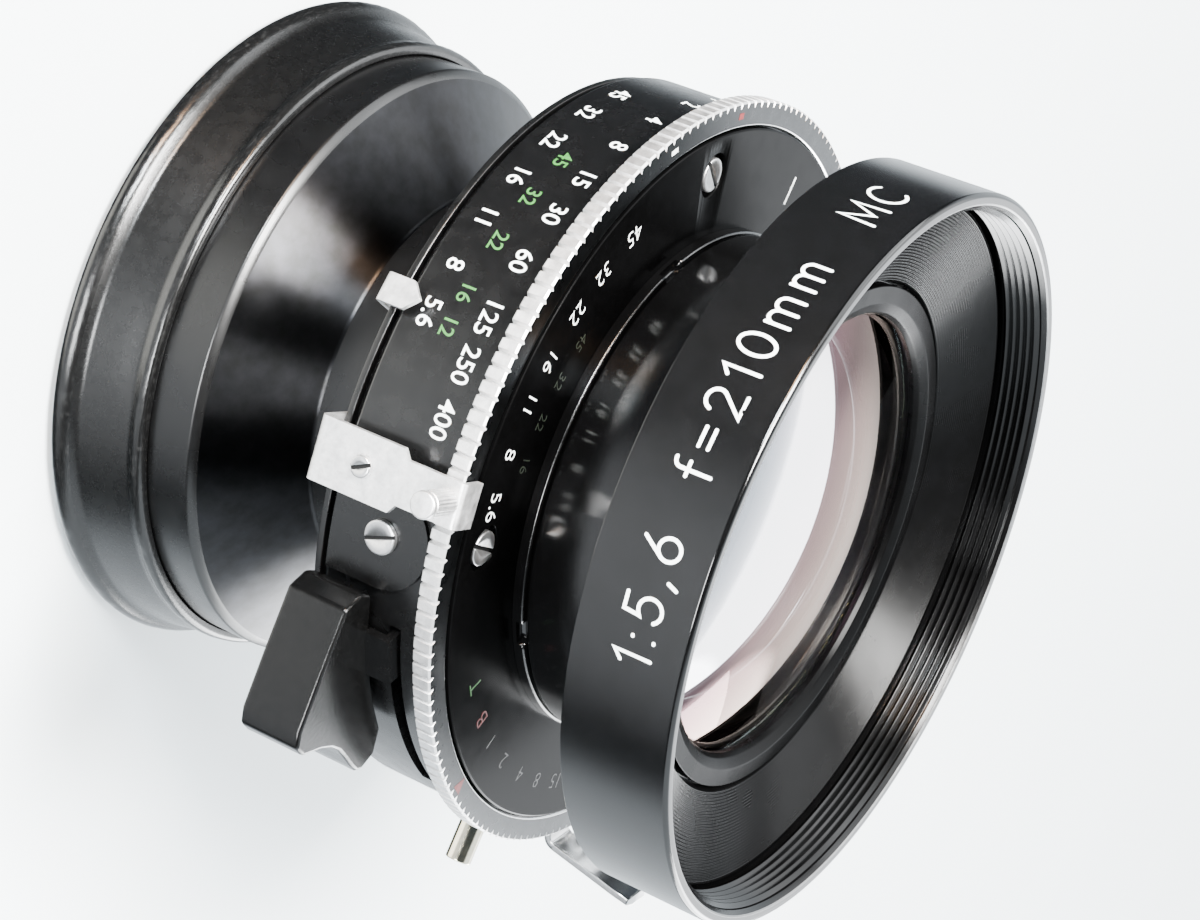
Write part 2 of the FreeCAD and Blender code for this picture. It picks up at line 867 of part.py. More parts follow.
def mechanism_plate():
    profile = [
        ("plate_hole", "mechanism_rear"),
        ("plate_radius", "mechanism_rear"),
        ("plate_radius", "mechanism_front"),
        ("mechanism_tube", "mechanism_front"),
        ("mechanism_tube", "mechanism_top"),
        ("mechanism_bore", "mechanism_top"),
        ("mechanism_bore", "mechanism_front - 0.4"),
        ("plate_hole", "mechanism_front - 0.4"),
    ]
    blank = turned("mechanism_blank", profile)
    place = ("front_screw_circle", "0")
    pillars = []
    for azimuth in ("front_screw_top", "front_screw_side"):
        post = cylinder("pillar_radius", "mechanism_front - 0.1", "front_plate_rear", place)
        hole = cylinder("screw_hole", "mechanism_front + 0.5", "front_plate_rear + 1", place)
        pillars.append(at_azimuth(cut(post, hole), azimuth))
    pin = at_azimuth(
        cylinder("release_pin", "mechanism_front - 0.1", "arm_front + 0.4", ("release_pivot_circle", "0")),
        "release_azimuth",
    )
    node("mechanism_plate", fused(blank, *pillars, pin))


def front_plate():
    profile = [
        ("front_plate_hole", "front_plate_rear"),
        ("front_plate_radius", "front_plate_rear"),
        ("front_plate_radius", "front_plate_face"),
        ("front_plate_hole", "front_plate_face"),
    ]
    plate = turned("front_plate_blank", profile)
    place = ("front_screw_circle", "0")
    tools = []
    for azimuth in ("front_screw_top", "front_screw_side"):
        recess = cylinder("recess_radius", "recess_floor", "front_plate_face + 1", place)
        hole = cylinder("screw_hole", "front_plate_rear - 1", "front_plate_face + 1", place)
        tools.append(at_azimuth(recess, azimuth))
        tools.append(at_azimuth(hole, azimuth))
    node("front_plate", cut(plate, *tools))


def front_plate_screws():
    place = ("front_screw_circle", "0")
    half = "screw_slot / 2"
    screws = []
    for azimuth in ("front_screw_top", "front_screw_side"):
        top = "recess_floor + front_screw_head"
        head = cylinder("front_screw_radius", "recess_floor + head_gap", top, place)
        shank = cylinder("screw_shank", "front_plate_rear - 2", "recess_floor + 0.1", place)
        slot = box(
            ("front_screw_circle - recess_radius", "front_screw_circle + recess_radius"),
            (f"-{half}", half), ("recess_floor + front_screw_head / 2", f"recess_floor + {OVER}"),
        )
        screws.append(at_azimuth(cut(fused(head, shank), slot), azimuth))
    node("front_plate_screws", group(*screws))


def front_locking_ring():
    profile = [
        ("mechanism_bore + cell_gap", "front_plate_face + head_gap"),
        ("locking_ring_radius", "front_plate_face + head_gap"),
        ("locking_ring_radius", "locking_ring_front - 0.3"),
        ("locking_ring_radius - 0.3", "locking_ring_front"),
        ("mechanism_bore + cell_gap", "locking_ring_front"),
    ]
    ring = turned("locking_ring_blank", profile)
    reach = ("locking_ring_radius - locking_notch_depth", f"locking_ring_radius + {OVER}")
    width = ("-locking_notch / 2", "locking_notch / 2")
    rise = ("front_plate_face + 0.4", f"locking_ring_front + {OVER}")
    notches = [at_azimuth(box(reach, width, rise), str(azimuth)) for azimuth in NOTCH_AZIMUTHS]
    node("front_locking_ring", cut(ring, *notches))


def speed_ring():
    """The knurled ring. Its scalloped rim has too many edges for a sketch, so it is built in code."""
    axis = FreeCAD.Vector(0, 0, 1)
    base = axis * number("knurl_rear")
    below = base - axis
    tip = number("knurl_tip")
    root = number("knurl_root")
    flank = root + 0.6 * (tip - root)
    tooth_outline = ((-0.5, root), (-0.4, flank), (-0.33, tip), (0.33, tip), (0.4, flank), (0.5, root))
    edges = []
    for tooth in range(KNURL_TEETH):
        points = []
        for share, radius in tooth_outline:
            turn = FreeCAD.Rotation(axis, (tooth + share) * 360 / KNURL_TEETH)
            points.append(turn.multVec(FreeCAD.Vector(radius, 0, 0)) + base)
        edges.append(Part.Arc(points[0], points[1], points[2]).toShape())
        edges.append(Part.makeLine(points[2], points[3]))
        edges.append(Part.Arc(points[3], points[4], points[5]).toShape())
    rim = Part.Face(Part.Wire(edges)).extrude(axis * number("knurl_face - knurl_rear"))
    depth = number("knurl_face - knurl_rear") + 2
    bore = Part.makeCylinder(number("knurl_bore"), depth, below)
    web = Part.makeCylinder(number("knurl_bore + 0.5"), number("web_front - knurl_rear"), base)
    hole = Part.makeCylinder(number("web_inner"), depth, below)
    ring = document.addObject("Part::Feature", "speed_ring")
    ring.Shape = rim.cut(bore).fuse(web.cut(hole)).removeSplitter()
    ring.Placement = FreeCAD.Placement()
    node("speed_ring", ring)


def speed_cam():
    """The cam ring under the speed ring: three steps of its edge set the exposure times."""
    ring = cut(
        cylinder("cam_outer", "cam_rear", "knurl_rear"),
        cylinder("cam_inner", "cam_rear - 1", "knurl_rear + 1"),
    )
    steps = [
        cut(
            sector("cam_outer + 1", "cam_rear - 1", f"cam_rear + {depth}", str(start), str(CAM_STEP_SPAN)),
            cylinder("cam_inner - 1", "cam_rear - 2", "knurl_rear + 2"),
        )
        for start, depth in CAM_STEPS
    ]
    node("speed_cam", cut(ring, *steps))


# ---------------------------------------------------------------- aperture ring and its sheet-metal fittings


def aperture_ring():
    ring = cut(
        cylinder("aperture_outer", "aperture_rear", "aperture_front"),
        cylinder("aperture_inner", "aperture_rear - 1", "aperture_front + 1"),
    )
    driver = cylinder("driver_radius", "aperture_front - 0.1", "iris_ring_rear", ("driver_circle", "0"))
    node("aperture_ring", fused(ring, at_azimuth(driver, "bracket_azimuth")))


def aperture_pointer():
    low = "fold_rear"
    half = "pointer_width / 2"
    foot = box(("aperture_inner + 3", "pointer_inner + sheet"), (f"-{half}", half), (low, "aperture_rear"))
    arrow = [
        (f"-{half}", low),
        (half, low),
        (half, "pointer_shoulder"),
        ("0", "pointer_tip"),
        (f"-{half}", "pointer_shoulder"),
    ]
    blade = padded("pointer_blade", arrow, "pointer_inner", "sheet", "YZ_Plane")
    node("aperture_pointer", at_azimuth(fused(foot, blade), "pointer_azimuth"))


def aperture_bracket():
    outer = "bracket_inner + sheet"
    wide = ("-bracket_width / 2", "bracket_width / 2")
    neck = ("-bracket_neck / 2", "bracket_neck / 2")
    bracket = fused(
        box(("aperture_inner + 2", outer), wide, ("fold_rear", "aperture_rear")),
        box(("bracket_inner", outer), wide, ("fold_rear", "bracket_shoulder")),
        box(("bracket_inner", outer), neck, ("bracket_shoulder - 1", "bracket_front")),
        box(("bracket_toe", outer), neck, ("bracket_front - sheet", "bracket_front")),
    )
    node("aperture_bracket", at_azimuth(bracket, "bracket_azimuth"))


def bracket_screw():
    base = "bracket_inner + sheet + head_gap"
    half = "screw_slot / 2"
    head = radial("bracket_screw_radius", base, f"{base} + bracket_screw_head", "bracket_screw_height")
    slot = box(
        (f"{base} + bracket_screw_head / 2", f"{base} + {OVER}"),
        ("-2 * bracket_screw_radius", "2 * bracket_screw_radius"),
        (f"bracket_screw_height - {half}", f"bracket_screw_height + {half}"),
    )
    node("bracket_screw", at_azimuth(cut(head, slot), "bracket_azimuth"))


def thumb_post():
    post = radial("post_radius", "bracket_inner + sheet + head_gap", "post_end - 0.15", "post_height")
    cap = radial("post_radius - 0.15", "post_end - 0.2", "post_end", "post_height")
    node("thumb_post", at_azimuth(fused(post, cap), "bracket_azimuth"))


# ---------------------------------------------------------------- levers


def cocking_ring():
    ring = cut(
        cylinder("cocking_outer", "arm_rear", "arm_front"),
        cylinder("cocking_inner", "arm_rear - 1", "arm_front + 1"),
    )
    width = ("-cocking_arm_width / 2", "cocking_arm_width / 2")
    arm = box(("cocking_outer - 1", "cocking_arm_end"), width, ("arm_rear", "arm_front"))
    tab = box(("cocking_arm_end - tab_sheet", "cocking_arm_end"), width, ("grip_front", "arm_front"))
    node("cocking_ring", fused(ring, at_azimuth(fused(arm, tab), "cocking_azimuth")))


def cocking_grip():
    """The moulded finger piece: a flat outer face, a rounded tip and a hollow for the thumb."""
    points = [
        ("35.0", "-6.5"),
        ("36.4", "-6.6"),
        ("38.9", "-6.4"),
        ("45.6", "2.6"),
        ("46.0", "4.3"),
        ("45.2", "5.6"),
        ("42.8", "6.5"),
        ("40.3", "8.3"),
        ("38.9", "10.9"),
        ("37.4", "12.9"),
        ("35.2", "12.3"),
        ("32.0", "9.0"),
    ]
    slab = padded("grip_slab", points, "grip_rear", "grip_front - grip_rear")
    hollow = cylinder("grip_inner", "grip_rear - 1", "grip_front + 1")
    node("cocking_grip", at_azimuth(cut(slab, hollow), "cocking_azimuth"))


def release_lever():
    """A flat arm on a pin of the mechanism plate, with its end turned forward and flared for the finger."""
    pivot = ("release_pivot_circle", "0")
    side = [
        ("release_pivot_circle", "arm_rear"),
        ("release_elbow", "arm_rear"),
        ("release_end", "release_tab_front"),
        ("release_end - tab_sheet", "release_tab_front"),
        ("release_elbow - tab_sheet", "arm_front"),
        ("release_pivot_circle", "arm_front"),
    ]
    arm = padded("release_arm", side, "-release_width / 2", "release_width", "XZ_Plane")
    eye = cylinder("release_width / 2", "arm_rear", "arm_front", pivot)
    hole = cylinder("release_hole", "arm_rear - 1", "arm_front + 1", pivot)
    node("release_lever", at_azimuth(cut(fused(eye, arm), hole), "release_azimuth"))


def preview_tab():
    """The finger tab that holds the shutter open for focusing."""
    width = ("-preview_width / 2", "preview_width / 2")
    tab = box(("preview_end - tab_sheet", "preview_end"), width, ("preview_rear", "preview_front"))
    node("preview_tab", at_azimuth(tab, "preview_azimuth"))


# ---------------------------------------------------------------- sockets


def sync_terminal():
    """A flash socket: a stout stem through the wall, a tube outside it, and a pin in an insulator."""
    inner = "case_radius - case_wall"
    tube = cut(
        fused(
            radial("sync_stem", inner, "sync_shoulder", "sync_height"),
            radial("sync_radius", "sync_shoulder - 0.1", "sync_end", "sync_height"),
        ),
        radial("sync_bore", f"{inner} - {OVER}", f"sync_end + {OVER}", "sync_height"),
    )
    node("sync_terminal", at_azimuth(tube, "sync_azimuth"))
    insulator = cut(
        radial("sync_bore - head_gap", inner, "sync_end - sync_recess", "sync_height"),
        radial("sync_pin + head_gap", f"{inner} - {OVER}", "sync_end", "sync_height"),
    )
    node("sync_insulator", at_azimuth(insulator, "sync_azimuth"))
    pin = radial("sync_pin", inner, "sync_end - sync_recess / 3", "sync_height")
    node("sync_pin", at_azimuth(pin, "sync_azimuth"))


def cable_socket():
    """The cable release socket: a threaded tube, with a guide for the plunger at its foot."""
    inner = "case_radius - case_wall"
    barrel = fused(
        radial("cable_radius", inner, "cable_end", "cable_height"),
        radial("cable_flange", "case_radius + 0.15", "case_radius + 1.2", "cable_height"),
    )
    thread = radial("cable_bore", "cable_thread_floor", f"cable_end + {OVER}", "cable_height")
    guide = radial("cable_guide", f"{inner} - {OVER}", "cable_thread_floor + 0.1", "cable_height")
    node("cable_socket", at_azimuth(cut(barrel, thread, guide), "cable_azimuth"))
    plunger = radial("cable_pin", inner, "plunger_end", "cable_height")
    node("cable_plunger", at_azimuth(plunger, "cable_azimuth"))


# ---------------------------------------------------------------- checks and files


def check(nodes):
    document.recompute()
    for thing in document.Objects:
        if "Invalid" in thing.State or "Error" in thing.State:
            raise RuntimeError(f"{thing.Label} did not recompute: {thing.State}")
    for label, thing in nodes.items():
        if thing.Shape.isNull() or not thing.Shape.isValid() or thing.Shape.Volume <= 0:
            raise RuntimeError(f"{label} has no valid solid")


def write(nodes):
    os.makedirs("parts", exist_ok=True)
    for label, thing in nodes.items():
        thing.Shape.exportStep(f"parts/{label}.step")


fill_sheet()
filter_ring()
front_baffle()
front_barrel()
front_retainer()
front_glass()
front_rings()
rear_barrel()
rear_glass()
rear_rings()
rear_cap()
shutter_case()
lensboard_ring()
side_cover()
side_cover_screw()
iris_plate()
blade_plate()
plate_spacers()
for blade in range(IRIS_BLADES):
    iris_blade(blade)
for blade in range(SHUTTER_BLADES):
    shutter_blade(blade)
iris_ring()
blade_ring()
mechanism_plate()
front_plate()
front_plate_screws()
front_locking_ring()
speed_ring()
speed_cam()
aperture_ring()
aperture_pointer()
aperture_bracket()
bracket_screw()
thumb_post()
cocking_ring()
cocking_grip()
release_lever()
preview_tab()
sync_terminal()
cable_socket()
check(NODES)
write(NODES)
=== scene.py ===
import bmesh
import bpy
import json
import math
import random
from mathutils import Matrix, Vector


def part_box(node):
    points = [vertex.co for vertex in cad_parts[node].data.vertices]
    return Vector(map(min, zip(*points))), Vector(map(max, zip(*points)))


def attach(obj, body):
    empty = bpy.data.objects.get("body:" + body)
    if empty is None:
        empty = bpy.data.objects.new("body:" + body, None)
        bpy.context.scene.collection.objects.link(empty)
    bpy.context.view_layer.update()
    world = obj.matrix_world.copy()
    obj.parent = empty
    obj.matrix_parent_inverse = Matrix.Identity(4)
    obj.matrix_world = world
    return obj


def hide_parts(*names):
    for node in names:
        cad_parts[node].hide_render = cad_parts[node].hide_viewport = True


# A view-camera lens in a leaf shutter, standing on its rear cap. Shapes are worked out in
# millimetres from the boxes of the frame's nodes, and made in metres.

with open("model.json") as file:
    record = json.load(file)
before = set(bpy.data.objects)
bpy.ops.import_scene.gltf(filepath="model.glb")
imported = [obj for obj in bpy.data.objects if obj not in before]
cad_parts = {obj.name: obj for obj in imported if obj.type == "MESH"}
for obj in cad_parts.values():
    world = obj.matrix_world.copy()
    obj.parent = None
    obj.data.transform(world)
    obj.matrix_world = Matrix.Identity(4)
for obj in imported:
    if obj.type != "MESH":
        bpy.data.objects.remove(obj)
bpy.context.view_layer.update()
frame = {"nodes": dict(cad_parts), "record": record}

MM = 0.001
SEGMENTS = 288
SHARP_ANGLE = 38

# Sizes that more than one piece uses.
GAP = 0.05
SHEET = 0.55
LETTER_DEPTH = 0.02
LETTER_LIFT = 0.3 * LETTER_DEPTH
SCREW_CIRCLE = 30.3
RECESS_FLOOR = 14.0

# Places round the axis in degrees that no box of a node gives. A slot has its two ends.
COCKING_AZIMUTH = 165
SCREW_AZIMUTHS = (63.9, 146.6)
NOTCH_AZIMUTHS = (80, 170, 260, 350)
DRIVER_SLOT = (84.7, 140.7)
COCKING_SLOT = (160.4, 195.6)
RELEASE_SLOT = (235, 247)
PREVIEW_SLOT = (316, 337)

RECORD = frame["record"]
BODY_OF = {node: body for body, nodes in RECORD["behaviour"]["bodies"].items() for node in nodes}


# ---- places


class Extent:
    """The box of a node in millimetres, as a radius and two heights for round pieces."""

    def __init__(self, node):
        low, high = (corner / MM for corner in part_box(node))
        self.radius = high.x
        self.rear = low.z
        self.front = high.z
        self.middle = (low + high) / 2


def azimuth_of(node):
    """The azimuth of a node's centre about the optical axis, in degrees."""
    middle = Extent(node).middle
    return math.degrees(math.atan2(middle.y, middle.x))


def polar(radius, azimuth, height):
    angle = math.radians(azimuth)
    return Vector((radius * math.cos(angle), radius * math.sin(angle), height))


# ---- materials


def new_node(tree, kind, **settings):
    node = tree.nodes.new("ShaderNode" + kind)
    for name, value in settings.items():
        setattr(node, name, value)
    return node


def set_inputs(node, **inputs):
    """Sets unlinked inputs by name, with an underscore for each space."""
    for name, value in inputs.items():
        node.inputs[name.replace("_", " ")].default_value = value
    return node


class Finish:
    """A principled material whose variation comes from noise measured in millimetres."""

    def __init__(self, name, color, roughness, metallic=0.0, **sockets):
        self.material = bpy.data.materials.new(name)
        self.material.use_nodes = True
        self.tree = self.material.node_tree
        self.shader = self.tree.nodes["Principled BSDF"]
        set_inputs(self.shader, Base_Color=(*color, 1), Roughness=roughness, Metallic=metallic)
        set_inputs(self.shader, **sockets)
        place = self.node("TexCoord")
        scale = set_inputs(self.node("VectorMath", operation="SCALE"), Scale=1 / MM)
        self.link(place.outputs["Object"], scale.inputs[0])
        self.place = scale.outputs[0]
        self.normal = None

    def node(self, kind, **settings):
        return new_node(self.tree, kind, **settings)

    def link(self, output, socket):
        self.tree.links.new(output, socket)

    def noise(self, scale, detail=4.0, stretch=(1, 1, 1), roughness=0.55):
        mapping = set_inputs(self.node("Mapping"), Scale=stretch)
        self.link(self.place, mapping.inputs["Vector"])
        node = self.node("TexNoise")
        set_inputs(node, Scale=scale, Detail=detail, Roughness=roughness)
        self.link(mapping.outputs[0], node.inputs["Vector"])
        return node.outputs["Fac"]

    def waves(self, pitch, kind):
        """Turning marks: bands along the axis, or rings about it, one every pitch millimetres."""
        node = self.node("TexWave", wave_type=kind, bands_direction="Z", rings_direction="Z")
        per_mm = 2 * math.pi / (20 * pitch)
        set_inputs(node, Scale=per_mm, Distortion=0.4, Detail=2, Detail_Scale=0.4)
        self.link(self.place, node.inputs["Vector"])
        return node.outputs["Fac"]

    def spread(self, fac, low, high, start, end):
        """Stretches the part of a noise from start to end to run from low to high."""
        node = self.node("MapRange")
        set_inputs(node, From_Min=start, From_Max=end, To_Min=low, To_Max=high)
        self.link(fac, node.inputs["Value"])
        return node.outputs["Result"]

    def rough(self, fac, low, high, start=0.3, end=0.7):
        self.link(self.spread(fac, low, high, start, end), self.shader.inputs["Roughness"])

    def tint(self, fac, first, second, start=0.3, end=0.7):
        node = self.node("Mix", data_type="RGBA")
        set_inputs(node, A=(*first, 1), B=(*second, 1))
        self.link(self.spread(fac, 0, 1, start, end), node.inputs["Factor"])
        self.link(node.outputs["Result"], self.shader.inputs["Base Color"])

    def bump(self, fac, depth):
        """Adds relief of a depth in millimetres on top of what is there."""
        node = set_inputs(self.node("Bump"), Distance=depth * MM, Strength=1.0)
        self.link(fac, node.inputs["Height"])
        if self.normal is not None:
            self.link(self.normal, node.inputs["Normal"])
        self.normal = node.outputs["Normal"]
        self.link(self.normal, self.shader.inputs["Normal"])
        return self


def anodised(name, shade, low, high, pitch=0.12, kind="BANDS", depth=0.0012, **sockets):
    """Turned aluminium, anodised black: fine tool marks, smudges and a few specks."""
    finish = Finish(name, (shade, shade, shade * 1.05), low, **sockets)
    finish.rough(finish.noise(0.2, 4), low, high)
    finish.tint(finish.noise(0.6, 8), (shade * 0.85,) * 3, (shade * 1.2, shade * 1.2, shade * 1.3))
    finish.bump(finish.waves(pitch, kind), depth)
    return finish.bump(finish.noise(14, 4), 0.001).material


def plain_black(name, shade, low, high, grain=9.0, depth=0.004, **sockets):
    """Satin black paint, with a slight orange peel and rubbed patches."""
    finish = Finish(name, (shade, shade, shade * 1.06), low, **sockets)
    finish.rough(finish.noise(0.5, 7), low, high)
    rubbed = (shade * 1.5, shade * 1.5, shade * 1.6)
    finish.tint(finish.noise(1.1, 9, roughness=0.7), (shade * 0.75,) * 3, rubbed)
    return finish.bump(finish.noise(grain, 3), depth).material


def steel(name, shade, low, high, stretch=(1, 1, 1), depth=0.003, tone=(1, 1, 1)):
    """Bright metal with hairline scratches along one direction and a dull patch here and there."""
    base = tuple(shade * part for part in tone)
    finish = Finish(name, base, low, metallic=1.0)
    finish.rough(finish.noise(0.9, 7), low, high)
    finish.tint(finish.noise(2.5, 8, roughness=0.7), tuple(0.72 * part for part in base), base)
    return finish.bump(finish.noise(5, 6, stretch, 0.7), depth).material


def moulded(name, shade, low, high, worn=None, **sockets):
    """Moulded black plastic; worn is the grey that shows where the skin is rubbed."""
    finish = Finish(name, (shade,) * 3, low, **sockets)
    finish.rough(finish.noise(0.8, 8, roughness=0.65), low, high)
    if worn:
        finish.tint(finish.noise(1.7, 9, (1, 1, 2.5), 0.75), (shade,) * 3, (worn,) * 3, 0.52, 0.72)
    else:
        finish.tint(finish.noise(1.4, 8), (shade * 0.8,) * 3, (shade * 1.6,) * 3)
    finish.bump(finish.noise(3.0, 6, (1, 1, 3)), 0.012)
    return finish.bump(finish.noise(22, 3), 0.003).material


def enamel(name, color, rub):
    """Paint filled into engraved figures, thinner where it has been rubbed."""
    finish = Finish(name, color, 0.5)
    finish.tint(finish.noise(2.2, 7), color, rub)
    finish.rough(finish.noise(6, 3), 0.4, 0.65)
    return finish.bump(finish.noise(12, 2), 0.004).material


def glass(name, tone):
    """Coated optical glass: clear, with a faint coloured film and a little dust."""
    finish = Finish(name, tone, 0.0, Transmission_Weight=1.0, IOR=1.52,
                    Thin_Film_Thickness=350.0, Thin_Film_IOR=1.38)
    finish.rough(finish.noise(0.25, 9, roughness=0.7), 0.0, 0.03, 0.62, 0.8)
    return finish.bump(finish.noise(0.3, 2), 0.0004).material


PAINTS = {
    "ring": anodised("ring_anodised", 0.0016, 0.17, 0.22, 0.09, depth=0.0008),
    "ring_face": anodised("ring_face_anodised", 0.001, 0.08, 0.14, 0.1, "RINGS", 0.0006),
    "rim_edge": steel("rim_edge_worn", 0.3, 0.28, 0.45),
    "worn_edge": steel("worn_edge_bare", 0.1, 0.2, 0.3),
    "screw": steel("screw_steel", 0.8, 0.3, 0.4, (3, 0.3, 1)),
    "thread": anodised("thread_anodised", 0.001, 0.14, 0.22, 0.07, Specular_IOR_Level=0.2),
    "baffle": anodised("baffle_anodised", 0.0012, 0.22, 0.3, 0.06, "RINGS", 0.0001,
                       Specular_IOR_Level=0.1),
    "barrel": anodised("barrel_anodised", 0.0012, 0.08, 0.14, 0.1, depth=0.0005),
    "retainer": anodised("retainer_anodised", 0.0008, 0.2, 0.3, 0.08, "RINGS", 0.0006,
                         Specular_IOR_Level=0.04),
    "cone": anodised("cone_anodised", 0.035, 0.3, 0.36, 0.11, "RINGS", 0.0003,
                     Metallic=1.0, Anisotropic=1.0, Anisotropic_Rotation=0.25),
    "rear_band": anodised("rear_band_anodised", 0.0014, 0.24, 0.32, 0.1),
    "case": plain_black("case_enamel", 0.0014, 0.22, 0.3),
    "plate": plain_black("plate_enamel", 0.0006, 0.2, 0.26, 7.0, Specular_IOR_Level=0.03),
    "cover": plain_black("cover_enamel", 0.001, 0.2, 0.3),
    "inner_black": plain_black("inner_black", 0.0012, 0.5, 0.65, Specular_IOR_Level=0.2),
    "aperture": plain_black("aperture_ring_black", 0.0014, 0.24, 0.36),
    "cap": moulded("cap_plastic", 0.0012, 0.25, 0.3),
    "cap_bead": moulded("cap_bead_plastic", 0.002, 0.16, 0.26, worn=0.012),
    "grip": moulded("grip_plastic", 0.001, 0.18, 0.24, Specular_IOR_Level=0.3),
    "knurl": steel("knurl_chrome", 0.93, 0.42, 0.55, (1, 1, 0.4)),
    "knurl_face": steel("knurl_face_satin", 0.04, 0.26, 0.34, depth=0.012, tone=(0.93, 1, 1.05)),
    "chrome": steel("bright_chrome", 0.9, 0.08, 0.18),
    "steel": steel("bright_steel", 0.95, 0.4, 0.55, (0.3, 0.3, 3)),
    "blade": steel("blade_steel", 0.08, 0.35, 0.5, (3, 1, 1)),
    "brass": steel("terminal_brass", 0.86, 0.08, 0.16, depth=0.002, tone=(1, 0.93, 0.72)),
    "white": enamel("white_fill", (0.8, 0.83, 0.82), (0.66, 0.7, 0.68)),
    "green": enamel("green_fill", (0.016, 0.11, 0.012), (0.01, 0.07, 0.008)),
    "dim_green": enamel("dim_green_fill", (0.006, 0.011, 0.004), (0.003, 0.005, 0.003)),
    # White figures made nearly black: painted shade for the speed figures on the front plate, which
    # the name ring shades.
    "white_painted_shade": enamel("white_fill_painted_shade", (0.012, 0.012, 0.011), (0.006, 0.006, 0.006)),
    # A dark red, partly real red and partly painted shade for the B on the shaded front plate; the
    # speed ring marks share it.
    "red": enamel("red_fill", (0.14, 0.005, 0.005), (0.08, 0.004, 0.004)),
    "glass": glass("coated_glass", (0.97, 0.95, 0.97)),
}


# ---- mesh tools


def link(item):
    bpy.context.scene.collection.objects.link(item)
    return item


def upright(x, y, z):
    """The place map of a prism that stands along the optical axis."""
    return Vector((x, y, z))


def piece_from(name, vertices, faces, paints, marks=None):
    """A linked object from millimetre vertices; marks gives the paint of each face."""
    mesh = bpy.data.meshes.new(name)
    mesh.from_pydata([Vector(vertex) * MM for vertex in vertices], [], faces)
    for paint in paints:
        mesh.materials.append(PAINTS[paint])
    if marks:
        mesh.polygons.foreach_set("material_index", marks)
    return link(bpy.data.objects.new(name, mesh))


def bend(corner, start, end, steps=5):
    """Points of a rounded bend from one point to another about a corner."""
    corner, start, end = Vector(corner), Vector(start), Vector(end)
    points = []
    for step in range(steps + 1):
        share = step / steps
        points.append(start.lerp(corner, share).lerp(corner.lerp(end, share), share))
    return points


def tidy(piece, merge=1e-7):
    """Welds, turns the faces outwards and shades the piece smooth up to the sharp angle."""
    work = bmesh.new()
    work.from_mesh(piece.data)
    bmesh.ops.remove_doubles(work, verts=work.verts, dist=merge)
    bmesh.ops.recalc_face_normals(work, faces=work.faces)
    work.to_mesh(piece.data)
    work.free()
    piece.data.shade_smooth()
    piece.data.set_sharp_from_angle(angle=math.radians(SHARP_ANGLE))
    return piece


def around(count):
    """Each step round a closed loop, with the step after it."""
    return [(index, (index + 1) % count) for index in range(count)]


def weighted(piece):
    """Keeps flat faces flat to the eye beside rounded edges."""
    piece.modifiers.new("weighted", "WEIGHTED_NORMAL").keep_sharp = True
    return piece


def apply_modifiers(piece):
    graph = bpy.context.evaluated_depsgraph_get()
    mesh = bpy.data.meshes.new_from_object(piece.evaluated_get(graph))
    piece.modifiers.clear()
    piece.data = mesh
    return piece


def bevelled(piece, width, segments=3, angle=35):
    """Rounds the edges that turn by more than the angle."""
    modifier = piece.modifiers.new("bevel", "BEVEL")
    modifier.width = width * MM
    modifier.segments = segments
    modifier.limit_method = "ANGLE"
    modifier.angle_limit = math.radians(angle)
    return tidy(apply_modifiers(piece))


def cut(piece, cutters):
    """Subtracts the cutters from the piece and deletes them."""
    apply_modifiers(piece)
    for cutter in cutters:
        modifier = piece.modifiers.new("cut", "BOOLEAN")
        modifier.object = cutter
        modifier.operation = "DIFFERENCE"
        modifier.solver = "EXACT"
    apply_modifiers(piece)
    for cutter in cutters:
        bpy.data.objects.remove(cutter)
    return weighted(tidy(piece))


def corner_points(profile):
    """The points of a closed profile and their paints, with each rounding drawn as a short arc."""
    points, paints = [], []
    corners = [(*corner, 0, 0)[:4] for corner in profile]
    for index, (radius, height, rounding, paint) in enumerate(corners):
        here = Vector((radius, height))
        before = Vector(corners[index - 1][:2]) - here
        after = Vector(corners[(index + 1) % len(corners)][:2]) - here
        corner = [here]
        if rounding and before.length and after.length:
            reach = min(rounding, 0.45 * before.length, 0.45 * after.length)
            start = here + before.normalized() * reach
            end = here + after.normalized() * reach
            corner = bend(here, start, end, 4)
        points += corner
        paints += [paint] * len(corner)
    return points, paints


def lathe(name, profile, paints, segments=SEGMENTS, ripple=None):
    """Turns a closed profile about the optical axis. Its corners are (radius, height, rounding,
    paint), where the last two may be left out, and ripple moves a point in or out by angle."""
    points, point_marks = corner_points(profile)
    vertices, faces, marks = [], [], []
    count = len(points)
    for step in range(segments):
        angle = 2 * math.pi * step / segments
        for point in points:
            radius = point.x + (ripple(angle, point) if ripple else 0)
            vertices.append((radius * math.cos(angle), radius * math.sin(angle), point.y))
    for step in range(segments):
        here, there = step * count, (step + 1) % segments * count
        for index, after in around(count):
            if points[index].x < 1e-6 and points[after].x < 1e-6:
                continue
            faces.append((here + index, here + after, there + after, there + index))
            marks.append(point_marks[index])
    return weighted(tidy(piece_from(name, vertices, faces, paints, marks)))


def bar(start, end, width):
    """The outline of a rectangle that runs outwards from start to end."""
    half = width / 2
    return [(start, -half), (end, -half), (end, half), (start, half)]


def block(name, outline, low, high, paint, place=upright, bevel=0, segments=3):
    """A prism of an outline between two heights, put in place by a map to space."""
    count = len(outline)
    vertices = [place(x, y, height) for height in (low, high) for x, y in outline]
    faces = [tuple(range(count)), tuple(range(2 * count - 1, count - 1, -1))]
    faces += [(index, after, count + after, count + index) for index, after in around(count)]
    piece = tidy(piece_from(name, vertices, faces, [paint]))
    return weighted(bevelled(piece, bevel, segments) if bevel else piece)


def turned_at(azimuth):
    """Maps coordinates of a frame that looks along +X to the same frame at an azimuth."""
    turn = Matrix.Rotation(math.radians(azimuth), 3, "Z")
    return lambda x, y, z: turn @ Vector((x, y, z))


